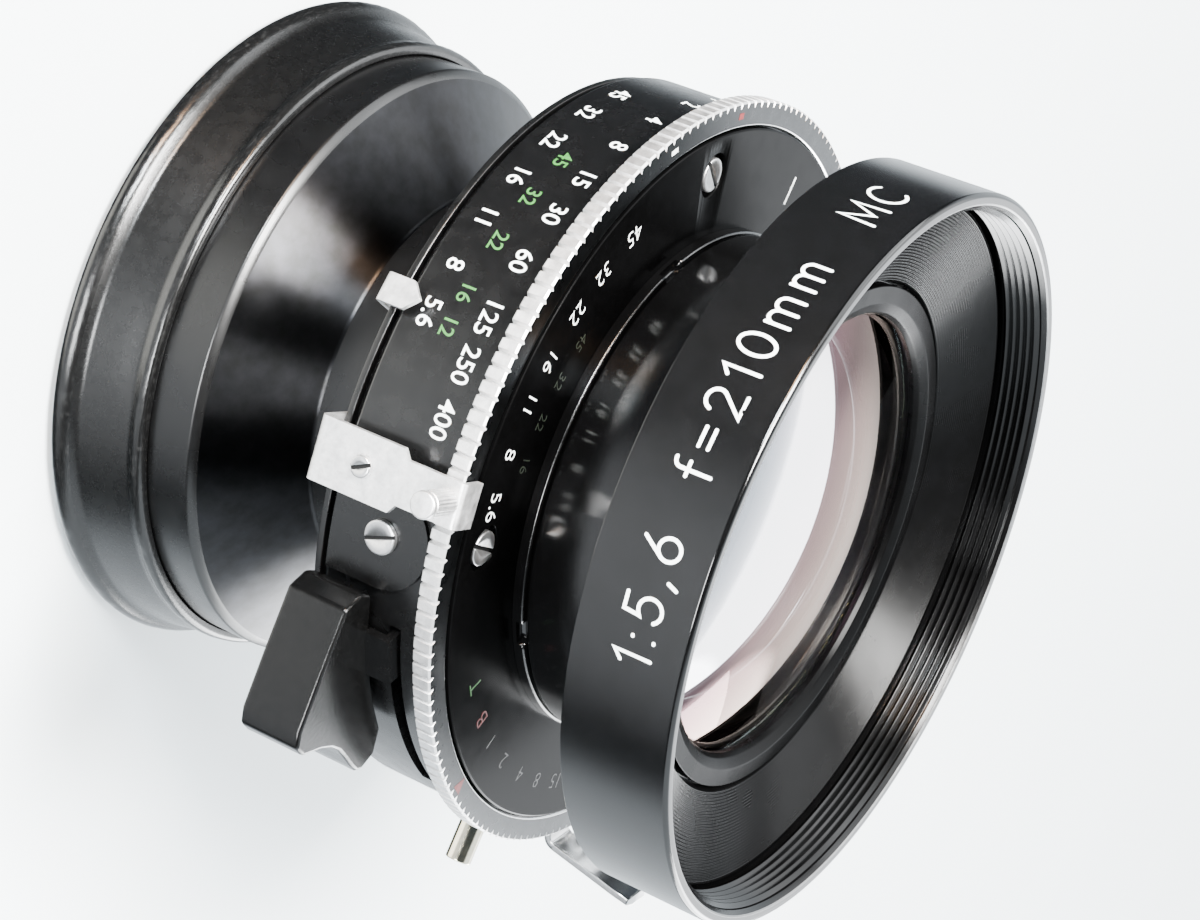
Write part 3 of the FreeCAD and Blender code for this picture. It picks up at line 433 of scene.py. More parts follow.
def outwards(node):
    """Turns a piece made along the optical axis to point outwards where a node is."""
    height = Extent(node).middle.z * MM
    turn = Matrix.Rotation(math.radians(azimuth_of(node)), 4, "Z")
    return Matrix.Translation((0, 0, height)) @ (turn @ Matrix.Rotation(math.pi / 2, 4, "Y"))


def spin(name, node, profile, paint, segments=64, ripple=None):
    """A small lathe piece that points outwards. The heights of its profile become distances."""
    piece = lathe(name, profile, [paint], segments, ripple)
    piece.data.transform(outwards(node))
    return piece


def join(name, pieces):
    """One object from several, with their paints kept apart."""
    for piece in pieces:
        apply_modifiers(piece)
    base = pieces[0]
    chosen = {"selected_editable_objects": pieces, "selected_objects": pieces}
    with bpy.context.temp_override(active_object=base, **chosen):
        bpy.ops.object.join()
    base.name = name
    return base


# ---- belonging


def on(piece, node):
    """The piece moves and is finished with a node that still shows."""
    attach(piece, BODY_OF[node])
    return piece


def instead_of(piece, *nodes):
    """The piece is shown in place of these nodes."""
    on(piece, nodes[0])
    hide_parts(*nodes)
    return piece


def keep(paint, *nodes):
    """These nodes stay as they are, with a better material."""
    for node in nodes:
        for slot in frame["nodes"][node].material_slots:
            slot.material = PAINTS[paint]


# ---- front cell


def filter_ring():
    """The name ring: a thin tube with a chamfered mouth, filter thread and rear disc."""
    box = Extent("filter_ring")
    barrel = Extent("front_barrel").radius + GAP
    root, crest, pitch, turns = 33.5, 33.05, 0.75, 5
    disc, mouth = box.rear + 2.3, box.front - 0.75
    profile = [
        (barrel, box.rear, 0.1, 1), (box.radius, box.rear, 0.12),
        (box.radius, box.front - 0.3, 0.12, 1), (box.radius - 0.3, box.front, 0.16, 1),
        (root + 0.5, box.front - 0.02, 0.05, 2), (root + 0.33, box.front - 0.16, 0.04, 3),
        (root, box.front - 0.55, 0.05, 3),
    ]
    for turn in range(turns):
        height = mouth - turn * pitch
        profile += [(root, height, 0.05, 3), (crest, height - 0.5 * pitch, 0.08, 3)]
    profile.append((root, mouth - turns * pitch, 0.05, 3))
    profile += [(root, disc, 0.1, 3), (barrel, disc, 0.1, 3)]
    paints = ["ring", "ring_face", "rim_edge", "thread"]
    instead_of(lathe("name_ring", profile, paints, 360), "filter_ring")


def baffle():
    """The shallow stepped cone round the front glass."""
    box, retainer = Extent("front_baffle"), Extent("front_retainer")
    inner, outer = retainer.radius + 0.2, box.radius - 0.3
    low = retainer.front - 0.1
    grooves = 28
    pitch = (outer - inner - 0.1) / grooves
    profile = [(inner, box.rear), (box.radius, box.rear), (box.radius, box.front, 0.1)]
    for groove in range(grooves):
        near = outer - groove * pitch
        height = box.front - groove * (box.front - low) / grooves
        profile += [(near, height, 0.06), (near - 0.1, height - 0.2, 0.04)]
    instead_of(lathe("front_baffle_cone", profile, ["baffle"], 320), "front_baffle")


def front_barrel():
    """The tube that holds the front glass, and the ring that keeps the glass in it."""
    box = Extent("front_barrel")
    shoulder = Extent("front_locking_ring").front + GAP
    bore, neck, seat, seat_floor = 18.3, 19.95, 22.15, 18.4
    profile = [
        (bore, box.rear), (neck, box.rear, 0.1), (neck, shoulder),
        (box.radius - 0.35, shoulder), (box.radius, shoulder + 0.35, 0.15),
        (box.radius, box.front, 0.1), (seat, box.front, 0.1, 1),
        (seat, seat_floor, 0, 1), (bore, seat_floor, 0, 1),
    ]
    instead_of(lathe("front_barrel_tube", profile, ["barrel", "inner_black"]), "front_barrel")
    ring, hole = Extent("front_retainer"), 21.25
    profile = [
        (hole, ring.rear), (ring.radius, ring.rear, 0.05), (ring.radius, ring.front, 0.1),
        (22.6, ring.front, 0.12), (21.6, ring.front - 0.45, 0.1), (hole, ring.front - 0.9, 0.06),
    ]
    instead_of(lathe("front_retaining_ring", profile, ["retainer"]), "front_retainer")


def dome(radius, apex, edge, steps=26):
    """Points of a spherical face that bulges forward, from the axis to its edge."""
    centre = apex - radius
    reaches = [edge * step / steps for step in range(steps + 1)]
    return [(reach, centre + math.sqrt(radius**2 - reach**2)) for reach in reaches]


def front_glass():
    """The cemented front pair as one clear block, and the inner meniscus behind it."""
    edge, edge_rear, rear_apex = 22.0, 18.6, 22.6
    front = dome(62, Extent("front_element_outer").front, edge)
    rear = dome(60, rear_apex, edge)
    profile = front + [(edge, edge_rear, 0.1)] + list(reversed(rear[:-1]))
    pair = lathe("front_glass_pair", profile, ["glass"], 192)
    instead_of(pair, "front_element_outer", "front_element_second")
    edge, rear_apex = 18.15, 14.4
    front = dome(40, Extent("front_element_inner").front, edge)
    profile = front + list(reversed(dome(36, rear_apex, edge)))
    instead_of(lathe("front_glass_meniscus", profile, ["glass"], 160), "front_element_inner")


# ---- rear cell and cap


def rear_cell():
    """The rear barrel: a neck in the shutter, a cone and a broad band."""
    box = Extent("rear_barrel")
    rim, neck, bore, thread = box.radius, 19.6, 16.6, 17.95
    shoulder, cone_top, cone_base, glass_seat = -5.15, -11.4, -17.1, -17.7
    profile = [
        (bore, box.front), (thread, box.front, 0.1), (thread, shoulder), (neck, shoulder, 0.1),
        (neck, cone_top, 0.25, 1), (rim - 0.5, cone_base + 0.12, 0.3), (rim, cone_base - 0.35, 0.2),
        (rim, box.rear, 0.1), (25.6, box.rear, 0.1), (25.6, glass_seat), (23.1, glass_seat),
        (bore, cone_top - 0.9),
    ]
    instead_of(lathe("rear_cell_barrel", profile, ["rear_band", "cone"], 320), "rear_barrel")


def rear_cap():
    """The push-on cap: two rounded beads with a drawn-in band between, and a little mould flash."""
    box = Extent("rear_cap")
    rear, front, rim = box.rear, box.front, box.radius
    inside, inside_floor, rear_bead = 30.05, -30.9, -30.2
    draw = random.Random(7)
    waves = [(draw.randint(9, 90), draw.uniform(0, 6.3), draw.uniform(0.004, 0.016))
             for _ in range(14)]

    def flash(angle, point):
        near_front = max(0, 1 - abs(point.y - (front - 0.75)) / 0.5)
        near_rear = max(0, 1 - abs(point.y - rear_bead) / 0.7)
        ridge = sum(size * math.sin(turns * angle + start) for turns, start, size in waves)
        return -(near_front + near_rear) * abs(ridge)

    profile = [
        (0, rear), (29.2, rear, 0.3), (30.6, rear + 0.02, 0.4), (rim - 1.1, rear + 0.15, 0.5),
        (rim - 0.3, rear + 0.75, 0.45, 1), (rim, rear + 1.5, 0.5, 1),
        (rim - 0.25, rear + 2.2, 0.4, 1), (rim - 0.8, rear + 2.75, 0.3),
        (rim - 1.15, rear + 3.2, 0.5), (31.35, -25.6, 1.0), (30.95, -23.6, 0.4),
        (31.05, front - 1.25, 0.25, 1), (31.2, front - 0.8, 0.3, 1),
        (31.05, front - 0.25, 0.25, 1), (30.7, front, 0.2, 1),
        (inside, front, 0.15), (inside, inside_floor, 0.3), (0, inside_floor),
    ]
    instead_of(lathe("rear_cap_shell", profile, ["cap", "cap_bead"], 480, flash), "rear_cap")


# ---- shutter


def sector_cutter(inner, outer, rear, front, ends):
    """A wedge of a thick tube used to cut a slot between two azimuths."""
    start, end = ends
    steps = 24
    angles = [start + (end - start) * step / steps for step in range(steps + 1)]
    outline = [polar(outer, angle, 0).xy for angle in angles]
    outline += [polar(inner, angle, 0).xy for angle in reversed(angles)]
    return block("slot", outline, rear, front, "case")


def case():
    """The shutter case: a drum with a boss behind, slots for the levers and a plunger hole."""
    box = Extent("shutter_case")
    rim, wall = box.radius, box.radius - 1.4
    hole, bore, boss, seat = 15.6, 18.05, 19.5, 27
    web_rear, web_front, drum_rear = 0.6, 2.7, 1.5
    profile = [
        (hole, web_rear, 0, 1), (bore, web_rear, 0, 1), (bore, box.rear, 0.1),
        (boss, box.rear, 0.1), (boss, 0), (seat, 0, 0.1), (seat, drum_rear),
        (rim - 0.8, drum_rear, 0.12), (rim, drum_rear + 0.8, 0.12), (rim, box.front, 0.15),
        (wall, box.front, 0.1, 1), (wall, web_front, 0, 1), (hole, web_front, 0, 1),
    ]
    shell = lathe("shutter_case_shell", profile, ["case", "inner_black"], 360)
    arm, preview = Extent("release_lever"), Extent("blade_ring")
    inner, outer = wall - 1, 37
    cuts = [
        sector_cutter(28.85, 30.35, 1, 3.2, DRIVER_SLOT),
        sector_cutter(inner, outer, arm.rear - 0.2, arm.rear + 1.0, COCKING_SLOT),
        sector_cutter(inner, outer, arm.rear - 0.2, arm.rear + 1.0, RELEASE_SLOT),
        sector_cutter(inner, outer, preview.rear - 0.1, preview.front + 0.1, PREVIEW_SLOT),
    ]
    drill = [(0, inner), (0.95, inner), (0.95, rim + 1), (0, rim + 1)]
    cuts.append(spin("hole", "cable_plunger", drill, "case", 32))
    instead_of(cut(shell, cuts), "shutter_case")


def lensboard_ring():
    """The clamp ring behind the lensboard, with two slots for a spanner."""
    box = Extent("lensboard_ring")
    inner = 19.53
    profile = [
        (inner, box.rear, 0.1), (box.radius, box.rear, 0.2),
        (box.radius, box.front, 0.2), (inner, box.front, 0.1),
    ]
    ring = lathe("lensboard_clamp_ring", profile, ["rear_band"], 256)
    slots = [
        block("slot", bar(side * 21.6, side * 26, 1.8), box.rear - 1, box.rear + 0.9, "case")
        for side in (1, -1)
    ]
    instead_of(cut(ring, slots), "lensboard_ring")


def knurled_ring():
    """The chromed speed ring, with pointed teeth and a dull front face."""
    box = Extent("speed_ring")
    rear, front = box.rear, box.front
    teeth, steps = 176, 12
    tip, root, bore, hub, hub_front = 36.45, 35.95, 34.0, 32.1, 13.45
    half = math.pi / teeth

    def tooth(angle, point):
        if point.x < root:
            return 0
        share = abs((angle + half) % (2 * half) - half) / half
        return (root - tip) * min(1, max(0, 3.6 * share - 2.45))

    profile = [
        (bore, rear, 0, 1), (35.2, rear, 0, 1), (tip - 0.14, rear), (tip, rear + 0.14),
        (tip, front - 0.16), (tip - 0.16, front, 0, 1), (35.85, front, 0, 1),
        (bore + 0.22, front, 0.05, 2), (bore, front - 0.2, 0.05, 2),
        (bore, hub_front, 0, 1), (hub, hub_front, 0, 1), (hub, rear, 0, 1),
    ]
    paints = ["knurl", "knurl_face", "chrome"]
    ring = lathe("speed_ring_knurled", profile, paints, teeth * steps, tooth)
    instead_of(ring, "speed_ring")


def front_plate():
    """The black disc with the scales, recessed round its two screws."""
    box = Extent("front_plate")
    hole, recess, steps = 21.6, 2.15, 28
    profile = [
        (hole, box.rear), (box.radius, box.rear), (box.radius, box.front - 0.1),
        (box.radius - 0.12, box.front, 0.05), (hole, box.front, 0.05),
    ]
    plate = lathe("front_plate_disc", profile, ["plate"], 360)
    turns = [2 * math.pi * step / steps for step in range(steps)]
    cutters = []
    for azimuth in SCREW_AZIMUTHS:
        centre = polar(SCREW_CIRCLE, azimuth, 0)
        outline = [(centre.x + recess * math.cos(turn), centre.y + recess * math.sin(turn))
                   for turn in turns]
        cutters.append(block("recess", outline, RECESS_FLOOR, 16.0, "plate"))
    instead_of(cut(plate, cutters), "front_plate")


def slotted_head(name, radius, rear, front, rounding, slot_width, slot_depth):
    """A screw head along the optical axis, with the floor of its slot in the inner black."""
    profile = [(0, rear), (radius, rear), (radius, front, rounding), (0, front)]
    head = lathe(name, profile, ["screw"], 48)
    slot_floor = front - slot_depth
    outline = bar(-radius - 1, radius + 1, slot_width)
    cut(head, [block("slot", outline, slot_floor, front + 1, "screw")])
    head.data.materials.append(PAINTS["inner_black"])
    for face in head.data.polygons:
        if abs(face.center.z / MM - slot_floor) < 0.01 and face.normal.z > 0.9:
            face.material_index = len(head.data.materials) - 1
    return head


def front_screws():
    """The two cheese heads in the front plate, as one piece."""
    heads = []
    for index, (azimuth, turn) in enumerate(zip(SCREW_AZIMUTHS, (35, -20))):
        head = slotted_head(f"head_{index}", 1.6, RECESS_FLOOR + 0.02, 14.6, 0.18, 0.42, 0.32)
        spun = Matrix.Rotation(math.radians(azimuth + turn), 4, "Z")
        head.data.transform(Matrix.Translation(polar(SCREW_CIRCLE, azimuth, 0) * MM) @ spun)
        heads.append(head)
    instead_of(join("front_plate_screw_heads", heads), "front_plate_screws")


def small_screw(name, node, radius, base, tip, turn):
    """A slotted domed screw whose axis points outwards from the case."""
    head = slotted_head(name, radius, base, tip, 0.2, 0.34, 0.24)
    head.data.transform(outwards(node) @ Matrix.Rotation(math.radians(turn), 4, "Z"))
    instead_of(head, node)


def locking_ring():
    """The notched ring that holds the front plate, with a worn edge."""
    box = Extent("front_locking_ring")
    rim, hole = box.radius, 20.1
    profile = [
        (hole, box.rear), (rim, box.rear), (rim, box.front - 0.14, 0.05, 1),
        (rim - 0.14, box.front, 0.05), (hole, box.front),
    ]
    ring = lathe("front_clamp_ring", profile, ["barrel", "worn_edge"], 256)
    outline = bar(rim - 0.8, rim + 1, 2.6)
    rear, front = box.rear + 0.4, box.front + 1
    notches = [block("notch", outline, rear, front, "barrel", turned_at(azimuth))
               for azimuth in NOTCH_AZIMUTHS]
    instead_of(cut(ring, notches), "front_locking_ring")


def aperture_ring():
    """The ring behind the case, and the pin on it that drives the iris through the case."""
    box = Extent("aperture_ring")
    inner, front = 28.2, 1.35
    profile = [
        (inner, box.rear, 0.05), (box.radius, box.rear, 0.12),
        (box.radius, front, 0.12), (inner, front, 0.05),
    ]
    ring = lathe("aperture_ring_band", profile, ["aperture"], 320)
    pin = lathe("pin", [(0, 1.2), (0.6, 1.2), (0.6, 2.95, 0.05), (0, 2.95)], ["aperture"], 32)
    driver = polar(29.6, azimuth_of("aperture_bracket"), 0)
    pin.data.transform(Matrix.Translation(driver * MM))
    instead_of(join("aperture_ring_band", [ring, pin]), "aperture_ring")


def strip(name, node, path, widths, paint, sheet=SHEET, bevel=0.1):
    """Bent sheet metal instead of a node: a path of (distance, height) points and their widths."""
    place = turned_at(azimuth_of(node))
    points = [Vector(point) for point in path]
    last = len(points) - 1
    vertices, faces = [], []
    for index, (point, width) in enumerate(zip(points, widths)):
        along = (points[min(index + 1, last)] - points[max(index - 1, 0)]).normalized()
        inner = point + Vector((-along.y, along.x)) * sheet
        for side in (-width / 2, width / 2):
            vertices += [place(spot.x, side, spot.y) for spot in (point, inner)]
    for a in range(0, 4 * last, 4):
        b = a + 4
        faces += [(a, b, b + 2, a + 2), (a + 1, a + 3, b + 3, b + 1)]
        faces += [(a, a + 1, b + 1, b), (a + 2, b + 2, b + 3, a + 3)]
    end = 4 * last
    faces += [(0, 2, 3, 1), (end, end + 1, end + 3, end + 2)]
    piece = tidy(piece_from(name, vertices, faces, [paint]))
    instead_of(weighted(bevelled(piece, bevel, angle=40)), node)


def aperture_bracket():
    """The bright strip that runs from the aperture ring round the case to the front plate."""
    outer, foot, top = 37.3, 0.12, 15.28
    path = [(30.4, foot)] + bend((outer, foot), (outer - 0.6, foot), (outer, 0.72))
    path += [(outer, 8.7), (outer, 9.3)]
    path += bend((outer, top), (outer, 14.7), (outer - 0.6, top)) + [(34.65, top)]
    widths = [5.7] * 8 + [4.0] * 8
    strip("aperture_bracket_strip", "aperture_bracket", path, widths, "steel")


def aperture_pointer():
    """The bright pointer that ends in a tip on the aperture scale."""
    outer, foot = 36.53, 0.12
    path = [(31.4, foot)] + bend((outer, foot), (outer - 0.5, foot), (outer, 0.62))
    path += [(outer, 2.9), (outer, 4.05)]
    widths = [2.65] * 8 + [0.12]
    node = "aperture_pointer"
    strip("aperture_pointer_strip", node, path, widths, "steel", SHEET - 0.02, 0.07)


def thumb_post():
    base, tip, radius = 37.32, 41.0, 1.2

    def grooves(angle, point):
        if point.x > radius - 0.02 and point.y < tip - 0.7:
            return -0.06 * (0.5 + 0.5 * math.cos(24 * angle))
        return 0

    profile = [
        (0, base), (radius, base), (radius, 37.9), (radius, 38.6), (radius, 39.4),
        (radius, tip - 0.75, 0.05), (radius - 0.12, tip - 0.65, 0.05), (radius, tip - 0.5, 0.05),
        (radius, tip, 0.22), (0, tip),
    ]
    post = spin("thumb_post_knurled", "thumb_post", profile, "steel", 192, grooves)
    instead_of(post, "thumb_post")


def side_cover():
    """The black cover plate, curved with the case and rounded at its front end."""
    azimuth, low = azimuth_of("side_cover"), Extent("side_cover").rear
    half, centre, inner, outer = 4.65, 7.6, 35.03, 35.4
    arc_steps, columns = 16, 24
    outline = [(-half, low), (half, low)]
    for step in range(arc_steps + 1):
        angle = math.pi * step / arc_steps
        outline.append((half * math.cos(angle), centre + half * math.sin(angle)))
    work = bmesh.new()
    rear, front = [
        [work.verts.new((x, y, radius)) for x, y in outline] for radius in (inner, outer)
    ]
    work.faces.new(rear)
    work.faces.new(list(reversed(front)))
    for index, after in around(len(outline)):
        work.faces.new((rear[index], rear[after], front[after], front[index]))
    for column in range(1, columns):
        x = -half + 2 * half * column / columns
        everything = work.verts[:] + work.edges[:] + work.faces[:]
        bmesh.ops.bisect_plane(work, geom=everything, plane_co=(x, 0, 0), plane_no=(1, 0, 0))
    for vertex in work.verts:
        x, y, radius = vertex.co
        angle = math.radians(azimuth) + x / radius
        vertex.co = Vector((radius * math.cos(angle), radius * math.sin(angle), y)) * MM
    mesh = bpy.data.meshes.new("side_cover_plate")
    work.to_mesh(mesh)
    work.free()
    mesh.materials.append(PAINTS["cover"])
    plate = link(bpy.data.objects.new("side_cover_plate", mesh))
    instead_of(weighted(tidy(plate)), "side_cover")


def cocking_grip():
    """The moulded finger piece, with softened edges and a hollow for the thumb."""
    box = Extent("cocking_grip")
    outline = [
        (36.6, -6.4), (38.8, -6.2), (42.5, -1.4), (45.5, 2.7), (45.9, 4.2), (45.1, 5.5),
        (42.8, 6.4), (41.3, 7.3), (40.2, 8.4), (39.4, 9.8), (38.6, 11.3), (37.9, 12.4),
        (37.2, 12.7), (35.3, 12.2),
    ]
    outline += [polar(35.75, angle, 0).xy for angle in (16, 11, 6, 1, -4, -9)]
    place = turned_at(COCKING_AZIMUTH)
    grip = block("cocking_grip_moulding", outline, box.rear, box.front, "grip", place, 0.35, 4)
    instead_of(grip, "cocking_grip")


def release_lever():
    arm = Extent("release_lever")
    rear, front = arm.rear + 0.02, arm.front
    elbow, end = 42.4, 44.95
    path = [(27.6, rear), (30, rear)]
    path += bend((elbow, rear), (elbow - 1.2, rear), (elbow + 0.3, rear + 1.2))
    path += [(end - 0.5, front - 2.2), (end - 0.1, front - 0.5), (end - 0.25, front)]
    widths = [3.0] + [3.4] * 8 + [3.2, 2.2]
    strip("release_lever_strip", "release_lever", path, widths, "chrome", 0.78, 0.2)


def preview_tab():
    box = Extent("preview_tab")
    place = turned_at(azimuth_of("preview_tab"))
    outline = bar(37.82, 38.6, 3.6)
    tab = block("preview_tab_blade", outline, box.rear, box.front, "steel", place, 0.25)
    instead_of(tab, "preview_tab")


def sockets():
    """The sync terminal's tube and the threaded cable release socket, both turned."""
    base, flange = 33.6, 35.1
    profile = [
        (0.9, base), (1.65, base), (1.65, flange, 0.1), (1.25, flange, 0.03),
        (1.25, 40.2, 0.15), (0.9, 40.2, 0.12),
    ]
    terminal = spin("sync_terminal_tube", "sync_terminal", profile, "brass")
    instead_of(terminal, "sync_terminal")
    guide, thread, mouth = 0.75, 1.6, 45.0
    profile = [
        (guide, base), (2.2, base), (2.2, 35.15), (2.35, 35.15, 0.1), (2.35, 36.2, 0.1),
        (2.15, 36.3, 0.1), (2.15, 43.6, 0.1), (2.2, 43.8, 0.1), (2.2, mouth, 0.25),
        (thread, mouth, 0.2),
    ]
    for turn in range(8):
        distance = 44.5 - turn * 0.5
        profile += [(thread, distance), (thread + 0.12, distance - 0.25)]
    profile += [(thread, 40.5), (thread, 37.5), (guide, 37.5)]
    socket = spin("cable_socket_tube", "cable_socket", profile, "chrome", 96)
    instead_of(socket, "cable_socket")


# ---- lettering


def arc(x, y, radius, start, end, tall=1.0, steps=10):
    turns = [math.radians(start + (end - start) * step / steps) for step in range(steps + 1)]
    return [(x + radius * math.cos(turn), y + radius * tall * math.sin(turn)) for turn in turns]


# Single-line letters one unit high: an advance, then strokes that are lists of (x, y) points.
STROKES = {
    "M": (0.86, [[(0, 0), (0.06, 1), (0.41, 0.2), (0.76, 1), (0.82, 0)]]),
    "C": (0.84, [arc(0.44, 0.5, 0.44, 48, 312, 1.13, 18)]),
    "f": (0.42, [arc(0.34, 0.82, 0.18, 80, 180) + [(0.16, 0)], [(0, 0.62), (0.36, 0.62)]]),
    "=": (0.56, [[(0, 0.36), (0.5, 0.36)], [(0, 0.62), (0.5, 0.62)]]),
    "2": (0.62, [arc(0.28, 0.72, 0.27, 165, -32) + [(0.02, 0), (0.58, 0)]]),
    "1": (0.30, [[(0, 0.8), (0.22, 1), (0.22, 0)]]),
    "0": (0.62, [arc(0.3, 0.5, 0.29, 90, 450, 1.72, 24)]),
    "m": (0.88, [[(0, 0), (0, 0.66)], arc(0.2, 0.44, 0.2, 180, 0, 1.1) + [(0.4, 0)],
                 arc(0.6, 0.44, 0.2, 180, 0, 1.1) + [(0.8, 0)]]),
    ":": (0.16, [[(0.03, 0.02), (0.05, 0.02)], [(0.03, 0.6), (0.05, 0.6)]]),
    ",": (0.20, [[(0.1, 0.06), (0.0, -0.18)]]),
    "5": (0.60, [[(0.52, 1), (0.1, 1), (0.06, 0.56)] + arc(0.26, 0.32, 0.3, 132, -150, 1.07, 16)]),
    "6": (0.60, [[(0.44, 1), (0.06, 0.46)] + arc(0.3, 0.3, 0.28, 150, 510, 1.07, 24)]),
}


def stroke_mesh(text, size, width, gap):
    """Vertices and faces of a word in round-ended single strokes, centred on the origin."""
    vertices, faces = [], []
    reach = 0
    for letter in text:
        advance, strokes = STROKES[letter]
        for stroke in strokes:
            line = [Vector((x + reach, y - 0.5)) * size for x, y in stroke]
            outline = stroke_outline(line, width / 2)
            start, count = len(vertices), len(outline)
            for height in (-LETTER_DEPTH / 2, LETTER_DEPTH / 2):
                vertices += [Vector((point.x, point.y, height)) for point in outline]
            for a in range(start, start + count // 2 - 1):
                b, d = a + 1, 2 * start + count - 1 - a
                faces += [(a, b, d - 1, d), (d + count, d - 1 + count, b + count, a + count)]
            for index, after in around(count):
                a, b = start + index, start + after
                faces.append((a, a + count, b + count, b))
        reach += advance + gap
    middle = (reach - gap) * size / 2
    return [vertex - Vector((middle, 0, 0)) for vertex in vertices], faces


def stroke_outline(line, half):
    """The left side of a line forwards and its right side backwards, with rounded ends."""
    first = (line[1] - line[0]).normalized()
    last = (line[-1] - line[-2]).normalized()
    left, right = [], []

    def add(point, along, reach):
        side = Vector((-along.y, along.x)) * reach
        left.append(point + side)
        right.append(point - side)

    turns = [math.pi / 2 * step / 5 for step in range(5)]
    for turn in turns:
        add(line[0] - first * half * math.cos(turn), first, half * max(0.06, math.sin(turn)))
    for index, point in enumerate(line):
        before = (point - line[index - 1]).normalized() if index else first
        after = (line[index + 1] - point).normalized() if index + 1 < len(line) else last
        along = (before + after).normalized()
        add(point, along, half / max(0.5, along.dot(after)))
    for turn in reversed(turns):
        add(line[-1] + last * half * math.cos(turn), last, half * max(0.06, math.sin(turn)))
    return left + list(reversed(right))


def letter_mesh(text, size, thin):
    """Vertices and faces of a word, centred on the origin, as a thin closed solid."""
    curve = bpy.data.curves.new("word", "FONT")
    curve.body = text
    curve.size = size
    curve.align_x = curve.align_y = "CENTER"
    curve.extrude = LETTER_DEPTH / 2
    curve.offset = -thin * size
    curve.resolution_u = 5
    holder = link(bpy.data.objects.new("word", curve))
    graph = bpy.context.evaluated_depsgraph_get()
    mesh = bpy.data.meshes.new_from_object(holder.evaluated_get(graph))
    vertices = [vertex.co.copy() for vertex in mesh.vertices]
    faces = [tuple(face.vertices) for face in mesh.polygons]
    bpy.data.objects.remove(holder)
    bpy.data.meshes.remove(mesh)
    return vertices, faces


def lettering(name, node, paint, size, place, text, azimuths, thin=0.012, strokes=None):
    """Words set round the lens by place, one at each azimuth; strokes is a line width and a gap."""
    vertices, faces = [], []
    for word, azimuth in zip(text.split(), azimuths):
        if strokes:
            points, polygons = stroke_mesh(word, size, *strokes)
        else:
            points, polygons = letter_mesh(word, size, thin)
        start = len(vertices)
        vertices += [place(point, azimuth) for point in points]
        faces += [tuple(start + index for index in polygon) for polygon in polygons]
    on(tidy(piece_from(name, vertices, faces, [paint]), merge=1e-8), node)


def round_side(radius, height, upside_down=False):
    """Letters wrapped on a cylinder, tops forward, or backward if upside down."""
    sign = -1 if upside_down else 1

    def place(point, azimuth):
        turn = sign * math.degrees(point.x / radius)
        return polar(radius + LETTER_LIFT + point.z, azimuth + turn, height + sign * point.y)

    return place


def on_face(radius, height, inward=False):
    """Letters flat on a face, tops outward, or inward."""
    sign = 1 if inward else -1

    def place(point, azimuth):
        flat = turned_at(azimuth)(radius - sign * point.y, sign * point.x, 0)
        return flat + Vector((0, 0, height + LETTER_LIFT + point.z))

    return place


def scales():
    """Every figure of the scales, and the words of the name ring."""
    side = Extent("shutter_case").radius
    face = Extent("front_plate").front
    wide = -0.006
    lettering("aperture_scale", "shutter_case", "white", 2.35, round_side(side, 4.5),
              "5.6 8 11 16 22 32 45", (116.0, 108.3, 99.9, 91.5, 82.8, 73.8, 65.3), wide)
    lettering("aperture_scale_green", "shutter_case", "green", 2.0, round_side(side, 6.8),
              "12 16 22 32 45", (116.8, 111.5, 102.8, 94.3, 86.0), wide)
    lettering("speed_scale", "shutter_case", "white", 2.35, round_side(side, 9.8),
              "400 250 125 60 30 15 8 4 2 1 B T",
              (129.0, 120.9, 113.6, 104.4, 95.7, 88.0, 79.3, 69.7, 59.5, 51.0, 42.0, 33.0), wide)
    lettering("front_aperture_scale", "front_plate", "white", 2.3, on_face(30.8, face, True),
              "45 32 22 16 11 8 5.6", (88.5, 97.7, 105.8, 114.7, 122.2, 130.6, 139.3))
    lettering("front_aperture_scale_dim", "front_plate", "dim_green", 1.7,
              on_face(27.6, face, True), "45 32 22 16", (108.0, 116.0, 124.0, 132.0))
    place = on_face(30.2, face)
    # The speed figures are white made nearly black, as painted shade under the name ring.
    lettering("front_speed_scale", "front_plate", "white_painted_shade", 2.2, place,
              "1 2 4 8 15 30 60 125 250 400",
              (190.0, 198.0, 206.7, 214.2, 221.8, 230.2, 238.5, 247.4, 257.0, 267.0))
    lettering("front_speed_time", "front_plate", "green", 2.4, place, "T", (173.7,))
    # The red B is partly painted shade.
    lettering("front_speed_bulb", "front_plate", "red", 2.4, place, "B", (182.6,))
    place = round_side(Extent("filter_ring").radius, 32.5, True)
    lettering("name_ring_words", "filter_ring", "white", 3.4, place,
              "MC f=210mm 1:5,6", (71.4, 105.8, 140.7), strokes=(0.33, 0.35))


def mark(name, outline, azimuth, paint, node):
    """A small painted shape on the front face of a node."""
    face = Extent(node).front
    on(block(name, outline, face - 0.005, face + 0.02, paint, turned_at(azimuth)), node)


def marks():
    """The index line of the front plate, and the pointer and spots of the speed ring."""
    mark("index_line", bar(28.2, 31.0, 0.32), 31.4, "white", "front_plate")
    mark("speed_pointer", [(34.3, 0), (35.75, -0.75), (35.75, 0.75)], 190, "red", "speed_ring")
    mark("speed_dash", bar(34.9, 35.35, 1.0), 76.4, "white", "speed_ring")
    mark("speed_spot", bar(34.9, 35.5, 0.8), 57.8, "red", "speed_ring")


# ---- stage


def camera():
    """The view from above the lens, rolled so that its axis runs across the picture."""
    place = Vector((-139.27, 198.25, 123.26)) * MM
    right = Vector((0.53990, -0.10717, 0.83488))
    down = Vector((-0.66392, -0.66392, 0.34412))
    lens = bpy.data.cameras.new("camera")
    lens.lens = 85.56
    lens.sensor_width = 36
    lens.clip_start = 0.01
    lens.clip_end = 20
    holder = bpy.data.objects.new("camera", lens)
    turn = Matrix((right, -down, -right.cross(down))).transposed().to_4x4()
    holder.matrix_world = Matrix.Translation(place) @ turn
    bpy.context.scene.camera = link(holder)


